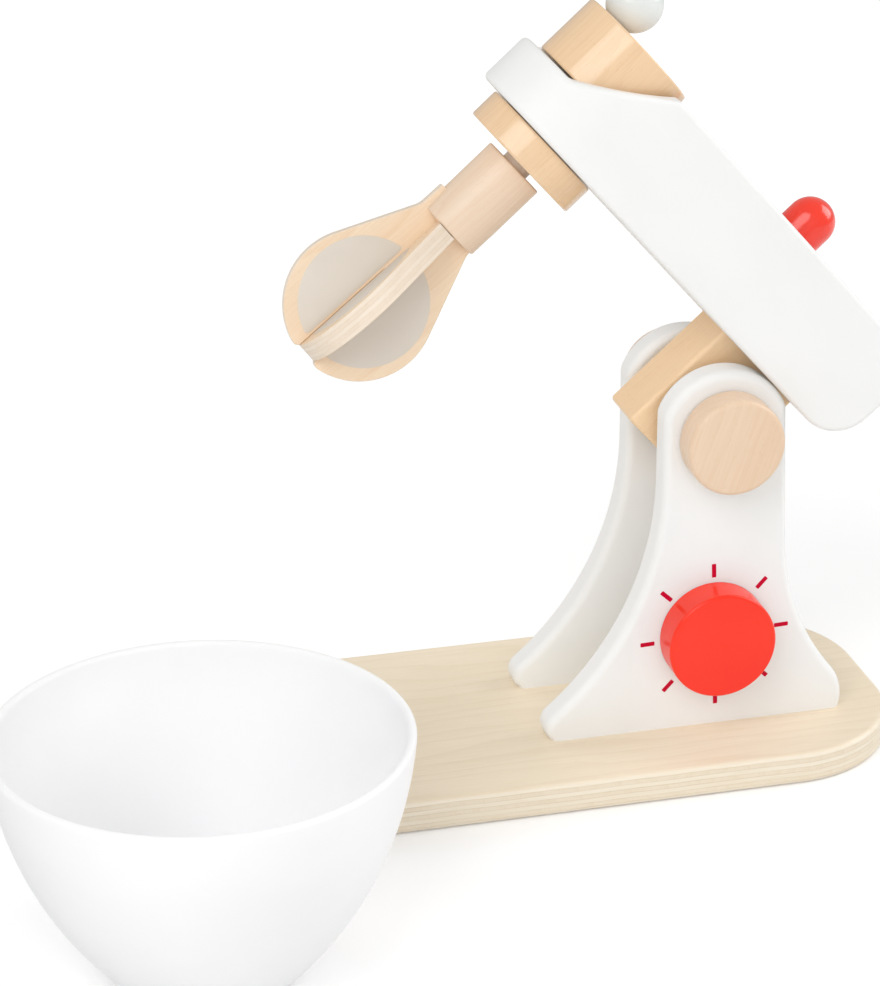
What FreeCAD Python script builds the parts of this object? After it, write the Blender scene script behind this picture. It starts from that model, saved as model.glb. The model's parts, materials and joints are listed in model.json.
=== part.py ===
import FreeCAD, Part
import math
import os

import Sketcher

# A wooden toy stand mixer: a plywood base carries two uprights, an arm tilts between them on a
# wooden pivot, and a cranked shaft in the arm's nose turns a whisk that pulls off. A bowl stands
# beside the base.
#
# Millimetres, +Z up. The origin is on the table under the pivot; the whisk end is towards -X and
# the dial side is towards -Y. Pieces of the arm are drawn in the arm's own frame, whose origin is
# on the pivot axis and whose X runs along the arm towards its tail; one placement tilts them all.

SIZES = {
    # plywood base
    "base_ahead": 171.9,
    "base_behind": 68.1,
    "base_width": 120,
    "base_thickness": 12,
    "base_corner": 46,
    "base_edge": 2,
    # the two uprights; heights are above the base
    "pivot_height": 113.1,
    "upright_gap": 32,
    "upright_thickness": 12,
    "upright_head": 24.2,
    "upright_shank": 22.6,
    "upright_shoulder": 8,
    "upright_edge": 3,
    "toe_reach": 64.8,
    "toe_radius": 6,
    "toe_rise": 4.5,
    "front_flare_height": 95,
    "heel_reach": 48.6,
    "heel_radius": 18,
    "heel_rise": 4.7,
    "waist_behind": 24.6,
    "rear_flare_height": 69,
    # arm; the tilt is in degrees from level
    "arm_tilt": 48.5,
    "arm_rise": 24.6,
    "arm_height": 42,
    "arm_width": 60,
    "arm_behind": 33.3,
    "arm_edge": 2,
    "tail_radius": 16,
    "shaft_reach": 118.6,
    "nose_height": 20,
    "slope_foot": 17.7,
    "slope_foot_round": 4,
    "slope_head": 12.8,
    "well_radius": 26,
    # hinge block and pivot
    "block_ahead": 22.7,
    "block_behind": 17.3,
    "block_drop": 21.1,
    "block_width": 24,
    "block_edge": 1.6,
    "joint_dowel_radius": 4,
    "joint_dowel_spread": 13,
    "joint_dowel_depth": 13,
    "pivot_radius": 8,
    "cap_radius": 17.8,
    "cap_thickness": 12.5,
    "cap_edge": 2,
    "cap_socket": 5,
    "washer_radius": 13,
    # crank, drive shaft and collar
    "drum_radius": 23.4,
    "drum_height": 24,
    "drum_gap": 1,
    "drum_socket": 14,
    "wood_edge": 0.8,
    "shaft_radius": 8,
    "knob_radius": 10,
    "knob_offset": 12.8,
    "knob_flat": 1,
    "knob_peg_radius": 3,
    "knob_peg_depth": 9,
    "collar_radius": 23.4,
    "collar_thickness": 11.2,
    "collar_gap": 0.3,
    # whisk; the turn and the two leans are in degrees
    "stem_radius": 5.5,
    "stem_depth": 14,
    "neck_gap": 2.1,
    "chuck_radius": 11.8,
    "chuck_height": 31.4,
    "blade_radius": 26.3,
    "blade_centre": 40,
    "blade_neck": 11.9,
    "blade_shoulder": 1,
    "blade_root": 8.8,
    "blade_tenon": 8,
    "cross_blade_rise": 1.7,
    "blade_thickness": 7.5,
    "blade_meeting": 25.6,
    "blade_corner": 2,
    "blade_edge": 0.5,
    "blade_fillet": 8,
    "whisk_turn": -14.8,
    "whisk_shift": 1.6,
    "whisk_lean": 2.3,
    "whisk_side_lean": 4.1,
    # dial
    "dial_radius": 20,
    "dial_thickness": 12.2,
    "dial_edge": 1.2,
    "dial_height": 36.8,
    "dial_ahead": 2.8,
    "dial_screw_radius": 2,
    "dial_screw_depth": 7,
    "screw_head_radius": 4,
    "screw_head_height": 2.6,
    "screw_head_edge": 0.8,
    "dial_washer_radius": 6,
    "dial_washer_thickness": 1,
    # start button
    "button_radius": 9,
    "button_height": 15.9,
    "button_ahead": 24.8,
    "button_peg_radius": 4,
    "button_peg_depth": 12,
    # screws that hold the uprights, driven up through the base
    "screw_radius": 2,
    "screw_length": 38,
    "screw_ahead": 34,
    "screw_behind": 26,
    "screw_sink": 0.3,
    "drive_reach": 2.4,
    "drive_half_width": 0.55,
    "drive_depth": 1.4,
    # mixing bowl
    "bowl_ahead": 206.9,
    "bowl_aside": 126,
    "bowl_height": 84,
    "bowl_rim": 68.5,
    "bowl_foot": 30,
    "bowl_wall_radius": 134,
    "bowl_wall": 3,
    "bowl_floor": 4,
    "bowl_edge": 1.2,
    "bowl_foot_edge": 1,
    "bowl_floor_round": 8,
    # clearances
    "running_fit": 0.08,
    "sliding_fit": 0.06,
    "glue_line": 0.03,
    "side_play": 0.3,
}

doc = FreeCAD.newDocument("stand_mixer")
sheet = doc.addObject("Spreadsheet::Sheet", "Sizes")
for row, (alias, number) in enumerate(SIZES.items(), start=1):
    sheet.set(f"A{row}", alias)
    sheet.set(f"B{row}", str(number))
    sheet.setAlias(f"B{row}", alias)
doc.recompute()


class Dim:
    """A size as a number, together with the expression that ties it to the sheet."""

    def __init__(self, number, expression=None):
        self.number = float(number)
        self.expression = expression or repr(self.number)

    def __add__(self, other):
        other = as_dim(other)
        return Dim(self.number + other.number, f"({self.expression} + {other.expression})")

    def __sub__(self, other):
        other = as_dim(other)
        return Dim(self.number - other.number, f"({self.expression} - {other.expression})")

    def __mul__(self, other):
        other = as_dim(other)
        return Dim(self.number * other.number, f"({self.expression} * {other.expression})")

    def __truediv__(self, other):
        other = as_dim(other)
        return Dim(self.number / other.number, f"({self.expression} / {other.expression})")

    def __neg__(self):
        return Dim(-self.number, f"(-{self.expression})")

    def __radd__(self, other):
        return as_dim(other) + self

    def __rsub__(self, other):
        return as_dim(other) - self

    def __rmul__(self, other):
        return as_dim(other) * self


def as_dim(value):
    return value if isinstance(value, Dim) else Dim(value)


class SheetSizes:
    """The sheet's cells, each read by its alias."""

    def __getattr__(self, alias):
        return Dim(sheet.get(alias), f"Sizes.{alias}")


size = SheetSizes()
ZERO = Dim(0)
AXIS_Z = FreeCAD.Vector(0, 0, 1)
START, END, CENTRE = range(1, 4)
ORIGIN = (-1, 1)

pieces = []


# ---- drawing helpers -------------------------------------------------------------------------


def tie(target, prop, value):
    """Sets a property from a size and keeps it tied to the sheet."""
    setattr(target, prop, as_dim(value).number)
    target.setExpression(prop, as_dim(value).expression)


def rebuild(feature):
    """Recomputes the document and stops at once if the newest feature failed."""
    doc.recompute()
    if "Invalid" in feature.State or "Error" in feature.State:
        raise RuntimeError(f"{feature.Label} failed: {feature.State}")
    return feature


def origin_feature(body, role):
    return next(f for f in body.Origin.OriginFeatures if f.Role == role)


class Profile:
    """A sketch on one of its body's origin planes, with every point tied to the sheet.

    It lies an offset away from the plane, or where an expression places it from there.
    """

    def __init__(self, body, name, plane="XY_Plane", offset=ZERO, placement=None):
        self.sketch = body.newObject("Sketcher::SketchObject", name)
        self.sketch.AttachmentSupport = (origin_feature(body, plane), [""])
        self.sketch.MapMode = "FlatFace"
        if placement is not None:
            self.sketch.setExpression("AttachmentOffset", placement)
            return
        self.sketch.AttachmentOffset = FreeCAD.Placement(
            FreeCAD.Vector(0, 0, offset.number), FreeCAD.Rotation()
        )
        self.sketch.setExpression("AttachmentOffset.Base.z", offset.expression)

    def constrain(self, kind, *arguments):
        return self.sketch.addConstraint(Sketcher.Constraint(kind, *arguments))

    def measure(self, kind, *arguments):
        """Adds a constraint whose last argument is a size, and ties it to the sheet."""
        value = as_dim(arguments[-1])
        index = self.constrain(kind, *arguments[:-1], value.number)
        self.sketch.setExpression(f"Constraints[{index}]", value.expression)

    def pin(self, geometry, end, point):
        """Holds one point of the geometry at (x, y) from the sketch's origin."""
        self.measure("DistanceX", *ORIGIN, geometry, end, point[0])
        self.measure("DistanceY", *ORIGIN, geometry, end, point[1])

    def circle(self, centre, radius):
        x, y = (as_dim(value).number for value in centre)
        shape = Part.Circle(FreeCAD.Vector(x, y, 0), AXIS_Z, radius.number)
        index = self.sketch.addGeometry(shape, False)
        self.pin(index, CENTRE, centre)
        self.measure("Radius", index, radius)
        return self

    def line(self, start, end):
        ends = [FreeCAD.Vector(as_dim(x).number, as_dim(y).number, 0) for x, y in (start, end)]
        return self.sketch.addGeometry(Part.LineSegment(*ends), False)

    def arc(self, centre, radius, start, end):
        """An arc that runs anticlockwise about a centre, between two points given as numbers."""
        angles = [math.atan2(y - centre[1], x - centre[0]) for x, y in (start, end)]
        circle = Part.Circle(FreeCAD.Vector(centre[0], centre[1], 0), AXIS_Z, radius)
        return self.sketch.addGeometry(Part.ArcOfCircle(circle, *angles), False)

    def polygon(self, points):
        lines = [self.line(a, b) for a, b in zip(points, points[1:] + points[:1])]
        for index, point in zip(lines, points):
            self.pin(index, START, point)
        for index, following in zip(lines, lines[1:] + lines[:1]):
            self.constrain("Coincident", index, END, following, START)
        return self

    def rectangle(self, x_low, x_high, y_low, y_high):
        return self.polygon(
            [(x_low, y_low), (x_high, y_low), (x_high, y_high), (x_low, y_high)]
        )


def new_body(label):
    body = doc.addObject("PartDesign::Body", label)
    body.Label = label
    pieces.append(body)
    return body


def pad(body, profile, length, both_ways=False, backwards=False):
    feature = body.newObject("PartDesign::Pad", "Pad")
    feature.Profile = profile.sketch
    tie(feature, "Length", length)
    feature.SideType = "Symmetric" if both_ways else "One side"
    feature.Reversed = backwards
    return rebuild(feature)


def pocket(body, profile, length=None, both_ways=False, backwards=False):
    """Cuts the profile away, to a depth or right through, and checks that it cut something."""
    before = body.Shape.Volume
    feature = body.newObject("PartDesign::Pocket", "Pocket")
    feature.Profile = profile.sketch
    if length is None:
        feature.Type = "ThroughAll"
    else:
        tie(feature, "Length", length)
    feature.SideType = "Symmetric" if both_ways else "One side"
    feature.Reversed = backwards
    rebuild(feature)
    if not body.Shape.Volume < before:
        raise RuntimeError(f"{body.Label}: a pocket cut nothing")
    return feature


def revolve(body, profile, axis="Z_Axis"):
    """Turns a profile all the way round one of the body's axes."""
    feature = body.newObject("PartDesign::Revolution", "Revolution")
    feature.Profile = profile.sketch
    feature.ReferenceAxis = (origin_feature(body, axis), [""])
    feature.Angle = 360
    return rebuild(feature)


def edge_names(shape, test):
    """The names of the shape's real edges that pass a test; a fillet's poles don't count."""
    return [
        f"Edge{number}"
        for number, edge in enumerate(shape.Edges, start=1)
        if not edge.Degenerated and test(edge)
    ]


def round_edges(body, radius, test, kind="PartDesign::Fillet"):
    """Rounds, or chamfers, the edges of the body's last feature that pass the test."""
    base = body.Tip
    names = edge_names(base.Shape, test)
    if not names:
        raise RuntimeError(f"{body.Label}: no edge to round")
    feature = body.newObject(kind, "Rounding")
    feature.Base = (base, names)
    tie(feature, "Radius" if kind == "PartDesign::Fillet" else "Size", radius)
    return rebuild(feature)


def repeat(body, axis, distance):
    """Copies everything in the body once more, a distance away along an axis."""
    feature = body.newObject("PartDesign::LinearPattern", "Repeat")
    feature.TransformMode = "Whole shape"
    feature.Direction = (origin_feature(body, axis), [""])
    feature.Occurrences = 2
    tie(feature, "Length", distance)
    body.Tip = feature
    return rebuild(feature)


def near(value, target, tolerance=0.01):
    return abs(value - target) < tolerance


def level_at(edge, height):
    """True for an edge that lies flat at a height in its body's own frame."""
    box = edge.BoundBox
    return near(box.ZMin, height) and near(box.ZMax, height)


def round_edge_of(edge, radius):
    curve = edge.Curve
    return isinstance(curve, Part.Circle) and near(curve.Radius, radius)


def meets_at_corner(shape, edge):
    """True for an edge where its two faces meet at an angle and don't run on smoothly."""
    faces = shape.ancestorsOfType(edge, Part.Face)
    if len(faces) != 2:
        return False
    middle = edge.valueAt((edge.FirstParameter + edge.LastParameter) / 2)
    normals = [face.normalAt(*face.Surface.parameter(middle)) for face in faces]
    return normals[0].getAngle(normals[1]) > math.radians(5)


# ---- placements ------------------------------------------------------------------------------

pivot_z = size.base_thickness + size.pivot_height
shaft_x = -size.shaft_reach
arm_top = size.arm_rise + size.arm_height
collar_top = size.arm_rise - size.collar_gap
collar_bottom = collar_top - size.collar_thickness
chuck_top = collar_bottom - size.neck_gap
chuck_bottom = chuck_top - size.chuck_height
nose_flat = size.arm_rise + size.nose_height
drum_bottom = nose_flat + size.drum_gap
drum_top = drum_bottom + size.drum_height
upright_inside = size.upright_gap / 2
upright_outside = upright_inside + size.upright_thickness
cap_inside = upright_outside + size.side_play

ARM_PLACE = (
    f"placement(vector(0; 0; {pivot_z.expression}); rotation(vector(0; 1; 0); Sizes.arm_tilt))"
)


def place(body, expression):
    body.setExpression("Placement", expression)


def move_to(x=ZERO, y=ZERO, z=ZERO):
    parts = "; ".join(as_dim(value).expression for value in (x, y, z))
    return f"placement(vector({parts}); rotation(vector(0; 0; 1); 0))"


# ---- base and uprights -----------------------------------------------------------------------


def base_board():
    """A plywood board with broad rounded corners and clearance holes for the four screws."""
    body = new_body("base_board")
    half = size.base_width / 2
    outline = Profile(body, "Outline").rectangle(-size.base_ahead, size.base_behind, -half, half)
    pad(body, outline, size.base_thickness)
    round_edges(
        body, size.base_corner, lambda e: near(e.BoundBox.ZLength, size.base_thickness.number)
    )
    flats = (0, size.base_thickness.number)
    round_edges(body, size.base_edge, lambda e: any(level_at(e, z) for z in flats))
    for x, y in screw_places():
        hole = Profile(body, "ScrewHole").circle((x, y), size.screw_radius + size.sliding_fit)
        pocket(body, hole, backwards=True)
    hole_radius = (size.screw_radius + size.sliding_fit).number
    countersink = size.screw_head_radius - size.screw_radius + size.screw_sink
    round_edges(
        body,
        countersink,
        lambda e: round_edge_of(e, hole_radius) and level_at(e, 0),
        "PartDesign::Chamfer",
    )
    return body


def screw_places():
    """Where the screws stand: two in line under each upright."""
    middle = upright_inside + size.upright_thickness / 2
    return [(x, y) for y in (-middle, middle) for x in (-size.screw_ahead, size.screw_behind)]


def flare(start, direction, toe_centre, toe_radius):
    """The hollow arc that leaves a straight edge at start and meets the toe's round smoothly.

    Gives its centre, its radius and the point where it meets the toe. Its centre lies to the
    left of someone who looks along the direction.
    """
    normal = (-direction[1], direction[0])
    across = (start[0] - toe_centre[0], start[1] - toe_centre[1])
    along_normal = across[0] * normal[0] + across[1] * normal[1]
    radius = (across[0] ** 2 + across[1] ** 2 - toe_radius**2) / (2 * (toe_radius - along_normal))
    centre = (start[0] + normal[0] * radius, start[1] + normal[1] * radius)
    share = radius / (radius + toe_radius)
    meeting = tuple(c + (t - c) * share for c, t in zip(centre, toe_centre))
    return centre, radius, meeting


def upright_outline(body):
    """A crown about the pivot, small shoulders, and flares down to a long toe and a short heel.

    The first drawing is made from numbers, and tangents and sizes then hold it.
    """
    profile = Profile(body, "Outline", "XZ_Plane")
    toe = (size.toe_radius - size.toe_reach, size.toe_rise)
    heel = (size.heel_reach - size.heel_radius, size.heel_rise)
    toe_n, heel_n = ((x.number, z.number) for x, z in (toe, heel))
    toe_r, heel_r = size.toe_radius.number, size.heel_radius.number
    head_r, top_z = size.upright_head.number, size.pivot_height.number
    shank_n, shoulder_r = size.upright_shank.number, size.upright_shoulder.number
    aside = shank_n - shoulder_r
    above = math.sqrt((head_r - shoulder_r) ** 2 - aside**2)
    out, up = (length * head_r / (head_r - shoulder_r) for length in (aside, above))
    front = (-shank_n, size.front_flare_height.number)
    waist = (size.waist_behind.number, size.rear_flare_height.number)
    toe_end = toe_n[0] - math.sqrt(toe_r**2 - toe_n[1] ** 2)
    heel_end = heel_n[0] + math.sqrt(heel_r**2 - heel_n[1] ** 2)

    front_centre, front_r, front_meet = flare(front, (0, 1), toe_n, toe_r)
    run = (waist[0] - shank_n, waist[1] - top_z - above)
    reach = math.hypot(*run)
    downward = (run[0] / reach, run[1] / reach)
    rear_centre, rear_r, rear_meet = flare(waist, downward, heel_n, heel_r)

    crown = profile.arc((0, top_z), head_r, (out, top_z + up), (-out, top_z + up))
    front_shoulder = profile.arc(
        (-aside, top_z + above), shoulder_r, (-out, top_z + up), (-shank_n, top_z + above)
    )
    shank = profile.line((-shank_n, top_z + above), front)
    hollow = profile.arc(front_centre, front_r, front_meet, front)
    toe_arc = profile.arc(toe_n, toe_r, front_meet, (toe_end, 0))
    sole = profile.line((toe_end, 0), (heel_end, 0))
    heel_arc = profile.arc(heel_n, heel_r, (heel_end, 0), rear_meet)
    rear_hollow = profile.arc(rear_centre, rear_r, waist, rear_meet)
    back = profile.line(waist, (shank_n, top_z + above))
    rear_shoulder = profile.arc(
        (aside, top_z + above), shoulder_r, (shank_n, top_z + above), (out, top_z + up)
    )

    profile.pin(crown, CENTRE, (ZERO, size.pivot_height))
    profile.measure("Radius", crown, size.upright_head)
    for shoulder in (front_shoulder, rear_shoulder):
        profile.measure("Radius", shoulder, size.upright_shoulder)
    profile.constrain("Tangent", crown, END, front_shoulder, START)
    profile.constrain("Tangent", front_shoulder, END, shank, START)
    profile.constrain("Vertical", shank)
    profile.pin(shank, END, (-size.upright_shank, size.front_flare_height))
    profile.constrain("Tangent", shank, END, hollow, END)
    profile.constrain("Tangent", hollow, START, toe_arc, START)
    profile.pin(toe_arc, CENTRE, toe)
    profile.measure("Radius", toe_arc, size.toe_radius)
    profile.constrain("Coincident", toe_arc, END, sole, START)
    profile.constrain("PointOnObject", sole, START, -1)
    profile.constrain("PointOnObject", sole, END, -1)
    profile.constrain("Coincident", sole, END, heel_arc, START)
    profile.pin(heel_arc, CENTRE, heel)
    profile.measure("Radius", heel_arc, size.heel_radius)
    profile.constrain("Tangent", heel_arc, END, rear_hollow, END)
    profile.constrain("Tangent", rear_hollow, START, back, START)
    profile.pin(back, START, (size.waist_behind, size.rear_flare_height))
    profile.measure("DistanceX", *ORIGIN, back, END, size.upright_shank)
    profile.constrain("Tangent", back, END, rear_shoulder, START)
    profile.constrain("Tangent", rear_shoulder, END, crown, START)
    return profile


def upright(label, side):
    """One upright; side is -1 for the dial side and +1 for the plain side."""
    body = new_body(label)
    pad(body, upright_outline(body), size.upright_thickness)
    for face_y in (0, -size.upright_thickness.number):
        round_edges(body, size.upright_edge, lambda e: upright_rim(e, face_y))
    bore = Profile(body, "PivotBore", "XZ_Plane").circle(
        (ZERO, size.pivot_height), size.pivot_radius + size.running_fit
    )
    pocket(body, bore, both_ways=True)
    if side < 0:
        hole = Profile(body, "DialHole", "XZ_Plane").circle(
            (-size.dial_ahead, size.dial_height), size.dial_screw_radius + size.running_fit
        )
        pocket(body, hole, both_ways=True)
    middle = -size.upright_thickness / 2
    for x in (-size.screw_ahead, size.screw_behind):
        pilot = Profile(body, "Pilot").circle((x, middle), size.screw_radius + size.glue_line)
        depth = size.screw_length - size.base_thickness + size.screw_sink + size.side_play
        pocket(body, pilot, depth, backwards=True)
    outer = upright_outside if side > 0 else -upright_inside
    place(body, move_to(y=outer, z=size.base_thickness))
    return body


def upright_rim(edge, face_y):
    """True for the edges round one face of an upright, but not along its sole."""
    box = edge.BoundBox
    return near(box.YMin, face_y) and near(box.YMax, face_y) and box.ZMax > 0.01


def upright_screws():
    """Four countersunk wood screws, heads flush under the base."""
    body = new_body("upright_screws")
    body.AllowCompound = True
    head, shank = size.screw_head_radius, size.screw_radius
    sink = size.screw_sink
    cone_top = sink + head - shank
    half = Profile(body, "Half", "XZ_Plane").polygon(
        [
            (ZERO, sink),
            (head, sink),
            (shank, cone_top),
            (shank, size.screw_length - shank + sink),
            (ZERO, size.screw_length + sink),
        ]
    )
    revolve(body, half)
    drive = Profile(body, "Drive").polygon(cross_points(size.drive_reach, size.drive_half_width))
    pocket(body, drive, size.drive_depth + sink, backwards=True)
    repeat(body, "X_Axis", size.screw_ahead + size.screw_behind)
    middle = upright_inside + size.upright_thickness / 2
    repeat(body, "Y_Axis", middle * 2)
    place(body, move_to(x=-size.screw_ahead, y=-middle))
    return body


def cross_points(reach, half):
    """The outline of a plus sign about the origin."""
    return [
        (half, half),
        (half, reach),
        (-half, reach),
        (-half, half),
        (-reach, half),
        (-reach, -half),
        (-half, -half),
        (-half, -reach),
        (half, -reach),
        (half, -half),
        (reach, -half),
        (reach, half),
    ]


# ---- pivot and hinge block -------------------------------------------------------------------


def in_arm(body):
    place(body, ARM_PLACE)
    return body


def hinge_block():
    """The wooden block under the arm, bored for the pivot and drilled for two joint dowels."""
    body = new_body("hinge_block")
    half = size.block_width / 2
    side = Profile(body, "Side", "XZ_Plane").rectangle(
        -size.block_ahead, size.block_behind, -size.block_drop, size.arm_rise
    )
    pad(body, side, half * 2, both_ways=True)
    top = size.arm_rise.number
    round_edges(body, size.block_edge, lambda e: not level_at(e, top))
    bore = Profile(body, "PivotBore", "XZ_Plane").circle(
        (ZERO, ZERO), size.pivot_radius + size.glue_line
    )
    pocket(body, bore, both_ways=True)
    for x in (-size.joint_dowel_spread, size.joint_dowel_spread):
        hole = Profile(body, "DowelHole", offset=size.arm_rise).circle(
            (x, ZERO), size.joint_dowel_radius + size.glue_line
        )
        pocket(body, hole, size.joint_dowel_depth + size.glue_line)
    return in_arm(body)


def block_dowels():
    """Two glued dowels that join the hinge block to the arm."""
    body = new_body("block_dowels")
    body.AllowCompound = True
    start = size.arm_rise - size.joint_dowel_depth
    profile = Profile(body, "Round", offset=start).circle(
        (-size.joint_dowel_spread, ZERO), size.joint_dowel_radius
    )
    pad(body, profile, size.joint_dowel_depth * 2)
    repeat(body, "X_Axis", size.joint_dowel_spread * 2)
    return in_arm(body)


def rod(label, radius, low, high, plane="XY_Plane", centre=(ZERO, ZERO), edge=None):
    """A plain round piece along the plane's normal, from low to high along it."""
    body = new_body(label)
    profile = Profile(body, "Round", plane, offset=low).circle(centre, radius)
    pad(body, profile, high - low)
    if edge is not None:
        round_edges(body, edge, lambda e: round_edge_of(e, radius.number))
    return body


def pivot_dowel():
    reach = cap_inside + size.cap_socket - size.glue_line
    return in_arm(rod("pivot_dowel", size.pivot_radius, -reach, reach, "XZ_Plane"))


def pivot_cap(label, side):
    """A round wooden cap glued on one end of the pivot dowel; side is -1 for the dial side."""
    outside = cap_inside + size.cap_thickness
    low, high = (cap_inside, outside) if side < 0 else (-outside, -cap_inside)
    body = rod(label, size.cap_radius, low, high, "XZ_Plane", edge=size.cap_edge)
    face = cap_inside if side < 0 else -cap_inside
    socket = Profile(body, "Socket", "XZ_Plane", offset=face).circle(
        (ZERO, ZERO), size.pivot_radius + size.glue_line
    )
    pocket(body, socket, size.cap_socket, backwards=side < 0)
    return in_arm(body)


def pivot_washer(label, side):
    """A wooden spacer ring that keeps the hinge block in the middle of the gap."""
    inside = size.block_width / 2
    outside = upright_inside - size.side_play
    low, high = (inside, outside) if side < 0 else (-outside, -inside)
    body = rod(label, size.washer_radius, low, high, "XZ_Plane")
    bore = Profile(body, "Bore", "XZ_Plane").circle(
        (ZERO, ZERO), size.pivot_radius + size.glue_line
    )
    pocket(body, bore, both_ways=True)
    return in_arm(body)


# ---- arm -------------------------------------------------------------------------------------


def arm_beam():
    """The painted arm: round nose with a lowered flat, a slope behind it and a rounded tail."""
    body = new_body("arm_beam")
    half = size.arm_width / 2
    plan = Profile(body, "Plan", offset=size.arm_rise)
    nose_x, tail_x, half_n = shaft_x.number, size.arm_behind.number, half.number
    near_side = plan.line((nose_x, -half_n), (tail_x, -half_n))
    tail = plan.line((tail_x, -half_n), (tail_x, half_n))
    far_side = plan.line((tail_x, half_n), (nose_x, half_n))
    nose = plan.arc((nose_x, 0), half_n, (nose_x, half_n), (nose_x, -half_n))
    for first, following in ((near_side, tail), (tail, far_side)):
        plan.constrain("Coincident", first, END, following, START)
    plan.constrain("Tangent", far_side, END, nose, START)
    plan.constrain("Tangent", nose, END, near_side, START)
    plan.pin(tail, START, (size.arm_behind, -half))
    plan.pin(tail, END, (size.arm_behind, half))
    plan.pin(nose, CENTRE, (shaft_x, ZERO))
    pad(body, plan, size.arm_height)

    foot = shaft_x - size.slope_foot
    head = shaft_x + size.slope_head
    beyond = shaft_x - size.arm_width
    above = arm_top + size.arm_height
    run_on = (head - foot) * (above - arm_top) / (arm_top - nose_flat)
    notch = Profile(body, "Notch", "XZ_Plane").polygon(
        [
            (beyond, nose_flat),
            (foot, nose_flat),
            (head + run_on, above),
            (beyond, above),
        ]
    )
    pocket(body, notch, both_ways=True)

    def tail_edge(edge):
        box = edge.BoundBox
        return level_at(edge, size.arm_rise.number) and near(box.XMin, tail_x)

    round_edges(body, size.tail_radius, tail_edge)
    foot_x = foot.number
    round_edges(
        body,
        size.slope_foot_round,
        lambda e: near(e.BoundBox.XMin, foot_x) and near(e.BoundBox.XMax, foot_x),
    )
    shape = body.Tip.Shape
    round_edges(body, size.arm_edge, lambda e: meets_at_corner(shape, e))

    well = Profile(body, "Well", offset=nose_flat).circle((shaft_x, ZERO), size.well_radius)
    pocket(body, well, backwards=True)
    bore = Profile(body, "ShaftBore").circle((shaft_x, ZERO), size.shaft_radius + size.running_fit)
    pocket(body, bore, backwards=True)
    for x in (-size.joint_dowel_spread, size.joint_dowel_spread):
        hole = Profile(body, "DowelHole", offset=size.arm_rise).circle(
            (x, ZERO), size.joint_dowel_radius + size.glue_line
        )
        pocket(body, hole, size.joint_dowel_depth + size.glue_line, backwards=True)
    peg = Profile(body, "ButtonHole", offset=arm_top).circle(
        (-size.button_ahead, ZERO), size.button_peg_radius + size.glue_line
    )
    pocket(body, peg, size.button_peg_depth + size.glue_line)
    return in_arm(body)


def start_button():
    """The red domed button, with the peg that is glued into the arm."""
    body = new_body("start_button")
    radius, peg = size.button_radius, size.button_peg_radius
    dome_z = size.button_height - radius
    profile = Profile(body, "Half", "XZ_Plane")
    r, z, peg_r = radius.number, dome_z.number, peg.number
    depth = size.button_peg_depth.number
    dome = profile.arc((0, z), r, (r, z), (0, z + r))
    axis = profile.line((0, z + r), (0, -depth))
    peg_end = profile.line((0, -depth), (peg_r, -depth))
    peg_side = profile.line((peg_r, -depth), (peg_r, 0))
    seat = profile.line((peg_r, 0), (r, 0))
    side = profile.line((r, 0), (r, z))
    profile.pin(dome, CENTRE, (ZERO, dome_z))
    profile.measure("Radius", dome, radius)
    profile.constrain("PointOnObject", dome, END, -2)
    chain = (dome, axis, peg_end, peg_side, seat, side)
    for first, following in zip(chain, chain[1:]):
        profile.constrain("Coincident", first, END, following, START)
    profile.constrain("Tangent", side, END, dome, START)
    profile.pin(axis, END, (ZERO, -size.button_peg_depth))
    profile.pin(peg_end, END, (peg, -size.button_peg_depth))
    profile.pin(peg_side, END, (peg, ZERO))
    profile.constrain("PointOnObject", side, START, -1)
    profile.constrain("Vertical", side)
    revolve(body, profile)
    place(body, f"{ARM_PLACE} * {move_to(x=-size.button_ahead, z=arm_top)}")
    return body


# ---- crank, shaft and collar -----------------------------------------------------------------


def crank_drum():
    body = rod(
        "crank_drum",
        size.drum_radius,
        drum_bottom,
        drum_top,
        centre=(shaft_x, ZERO),
        edge=size.wood_edge,
    )
    socket = Profile(body, "ShaftSocket", offset=drum_bottom).circle(
        (shaft_x, ZERO), size.shaft_radius + size.glue_line
    )
    pocket(body, socket, size.drum_socket, backwards=True)
    hole = Profile(body, "KnobHole", offset=drum_top).circle(
        (shaft_x - size.knob_offset, ZERO), size.knob_peg_radius + size.glue_line
    )
    pocket(body, hole, size.knob_peg_depth + size.glue_line)
    return in_arm(body)


def crank_knob():
    """The ball that the drum is turned by, with a small flat where it stands on the drum."""
    body = new_body("crank_knob")
    radius, flat = size.knob_radius.number, size.knob_flat.number
    bore = size.knob_peg_radius + size.glue_line
    depth = size.knob_peg_depth + size.glue_line
    flat_r = math.sqrt(radius**2 - (radius - flat) ** 2)
    bore_r, depth_n = bore.number, depth.number
    profile = Profile(body, "Half", "XZ_Plane")
    centre_z = size.knob_radius - size.knob_flat
    ball = profile.arc((0, centre_z.number), radius, (flat_r, 0), (0, centre_z.number + radius))
    axis = profile.line((0, centre_z.number + radius), (0, depth_n))
    bore_end = profile.line((0, depth_n), (bore_r, depth_n))
    bore_side = profile.line((bore_r, depth_n), (bore_r, 0))
    seat = profile.line((bore_r, 0), (flat_r, 0))
    profile.pin(ball, CENTRE, (ZERO, centre_z))
    profile.measure("Radius", ball, size.knob_radius)
    profile.constrain("PointOnObject", ball, START, -1)
    profile.constrain("PointOnObject", ball, END, -2)
    chain = (ball, axis, bore_end, bore_side, seat)
    for first, following in zip(chain, chain[1:] + chain[:1]):
        profile.constrain("Coincident", first, END, following, START)
    profile.pin(axis, END, (ZERO, depth))
    profile.pin(bore_end, END, (bore, depth))
    profile.pin(bore_side, END, (bore, ZERO))
    revolve(body, profile)
    place(body, f"{ARM_PLACE} * {move_to(x=shaft_x - size.knob_offset, z=drum_top)}")
    return body


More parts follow.
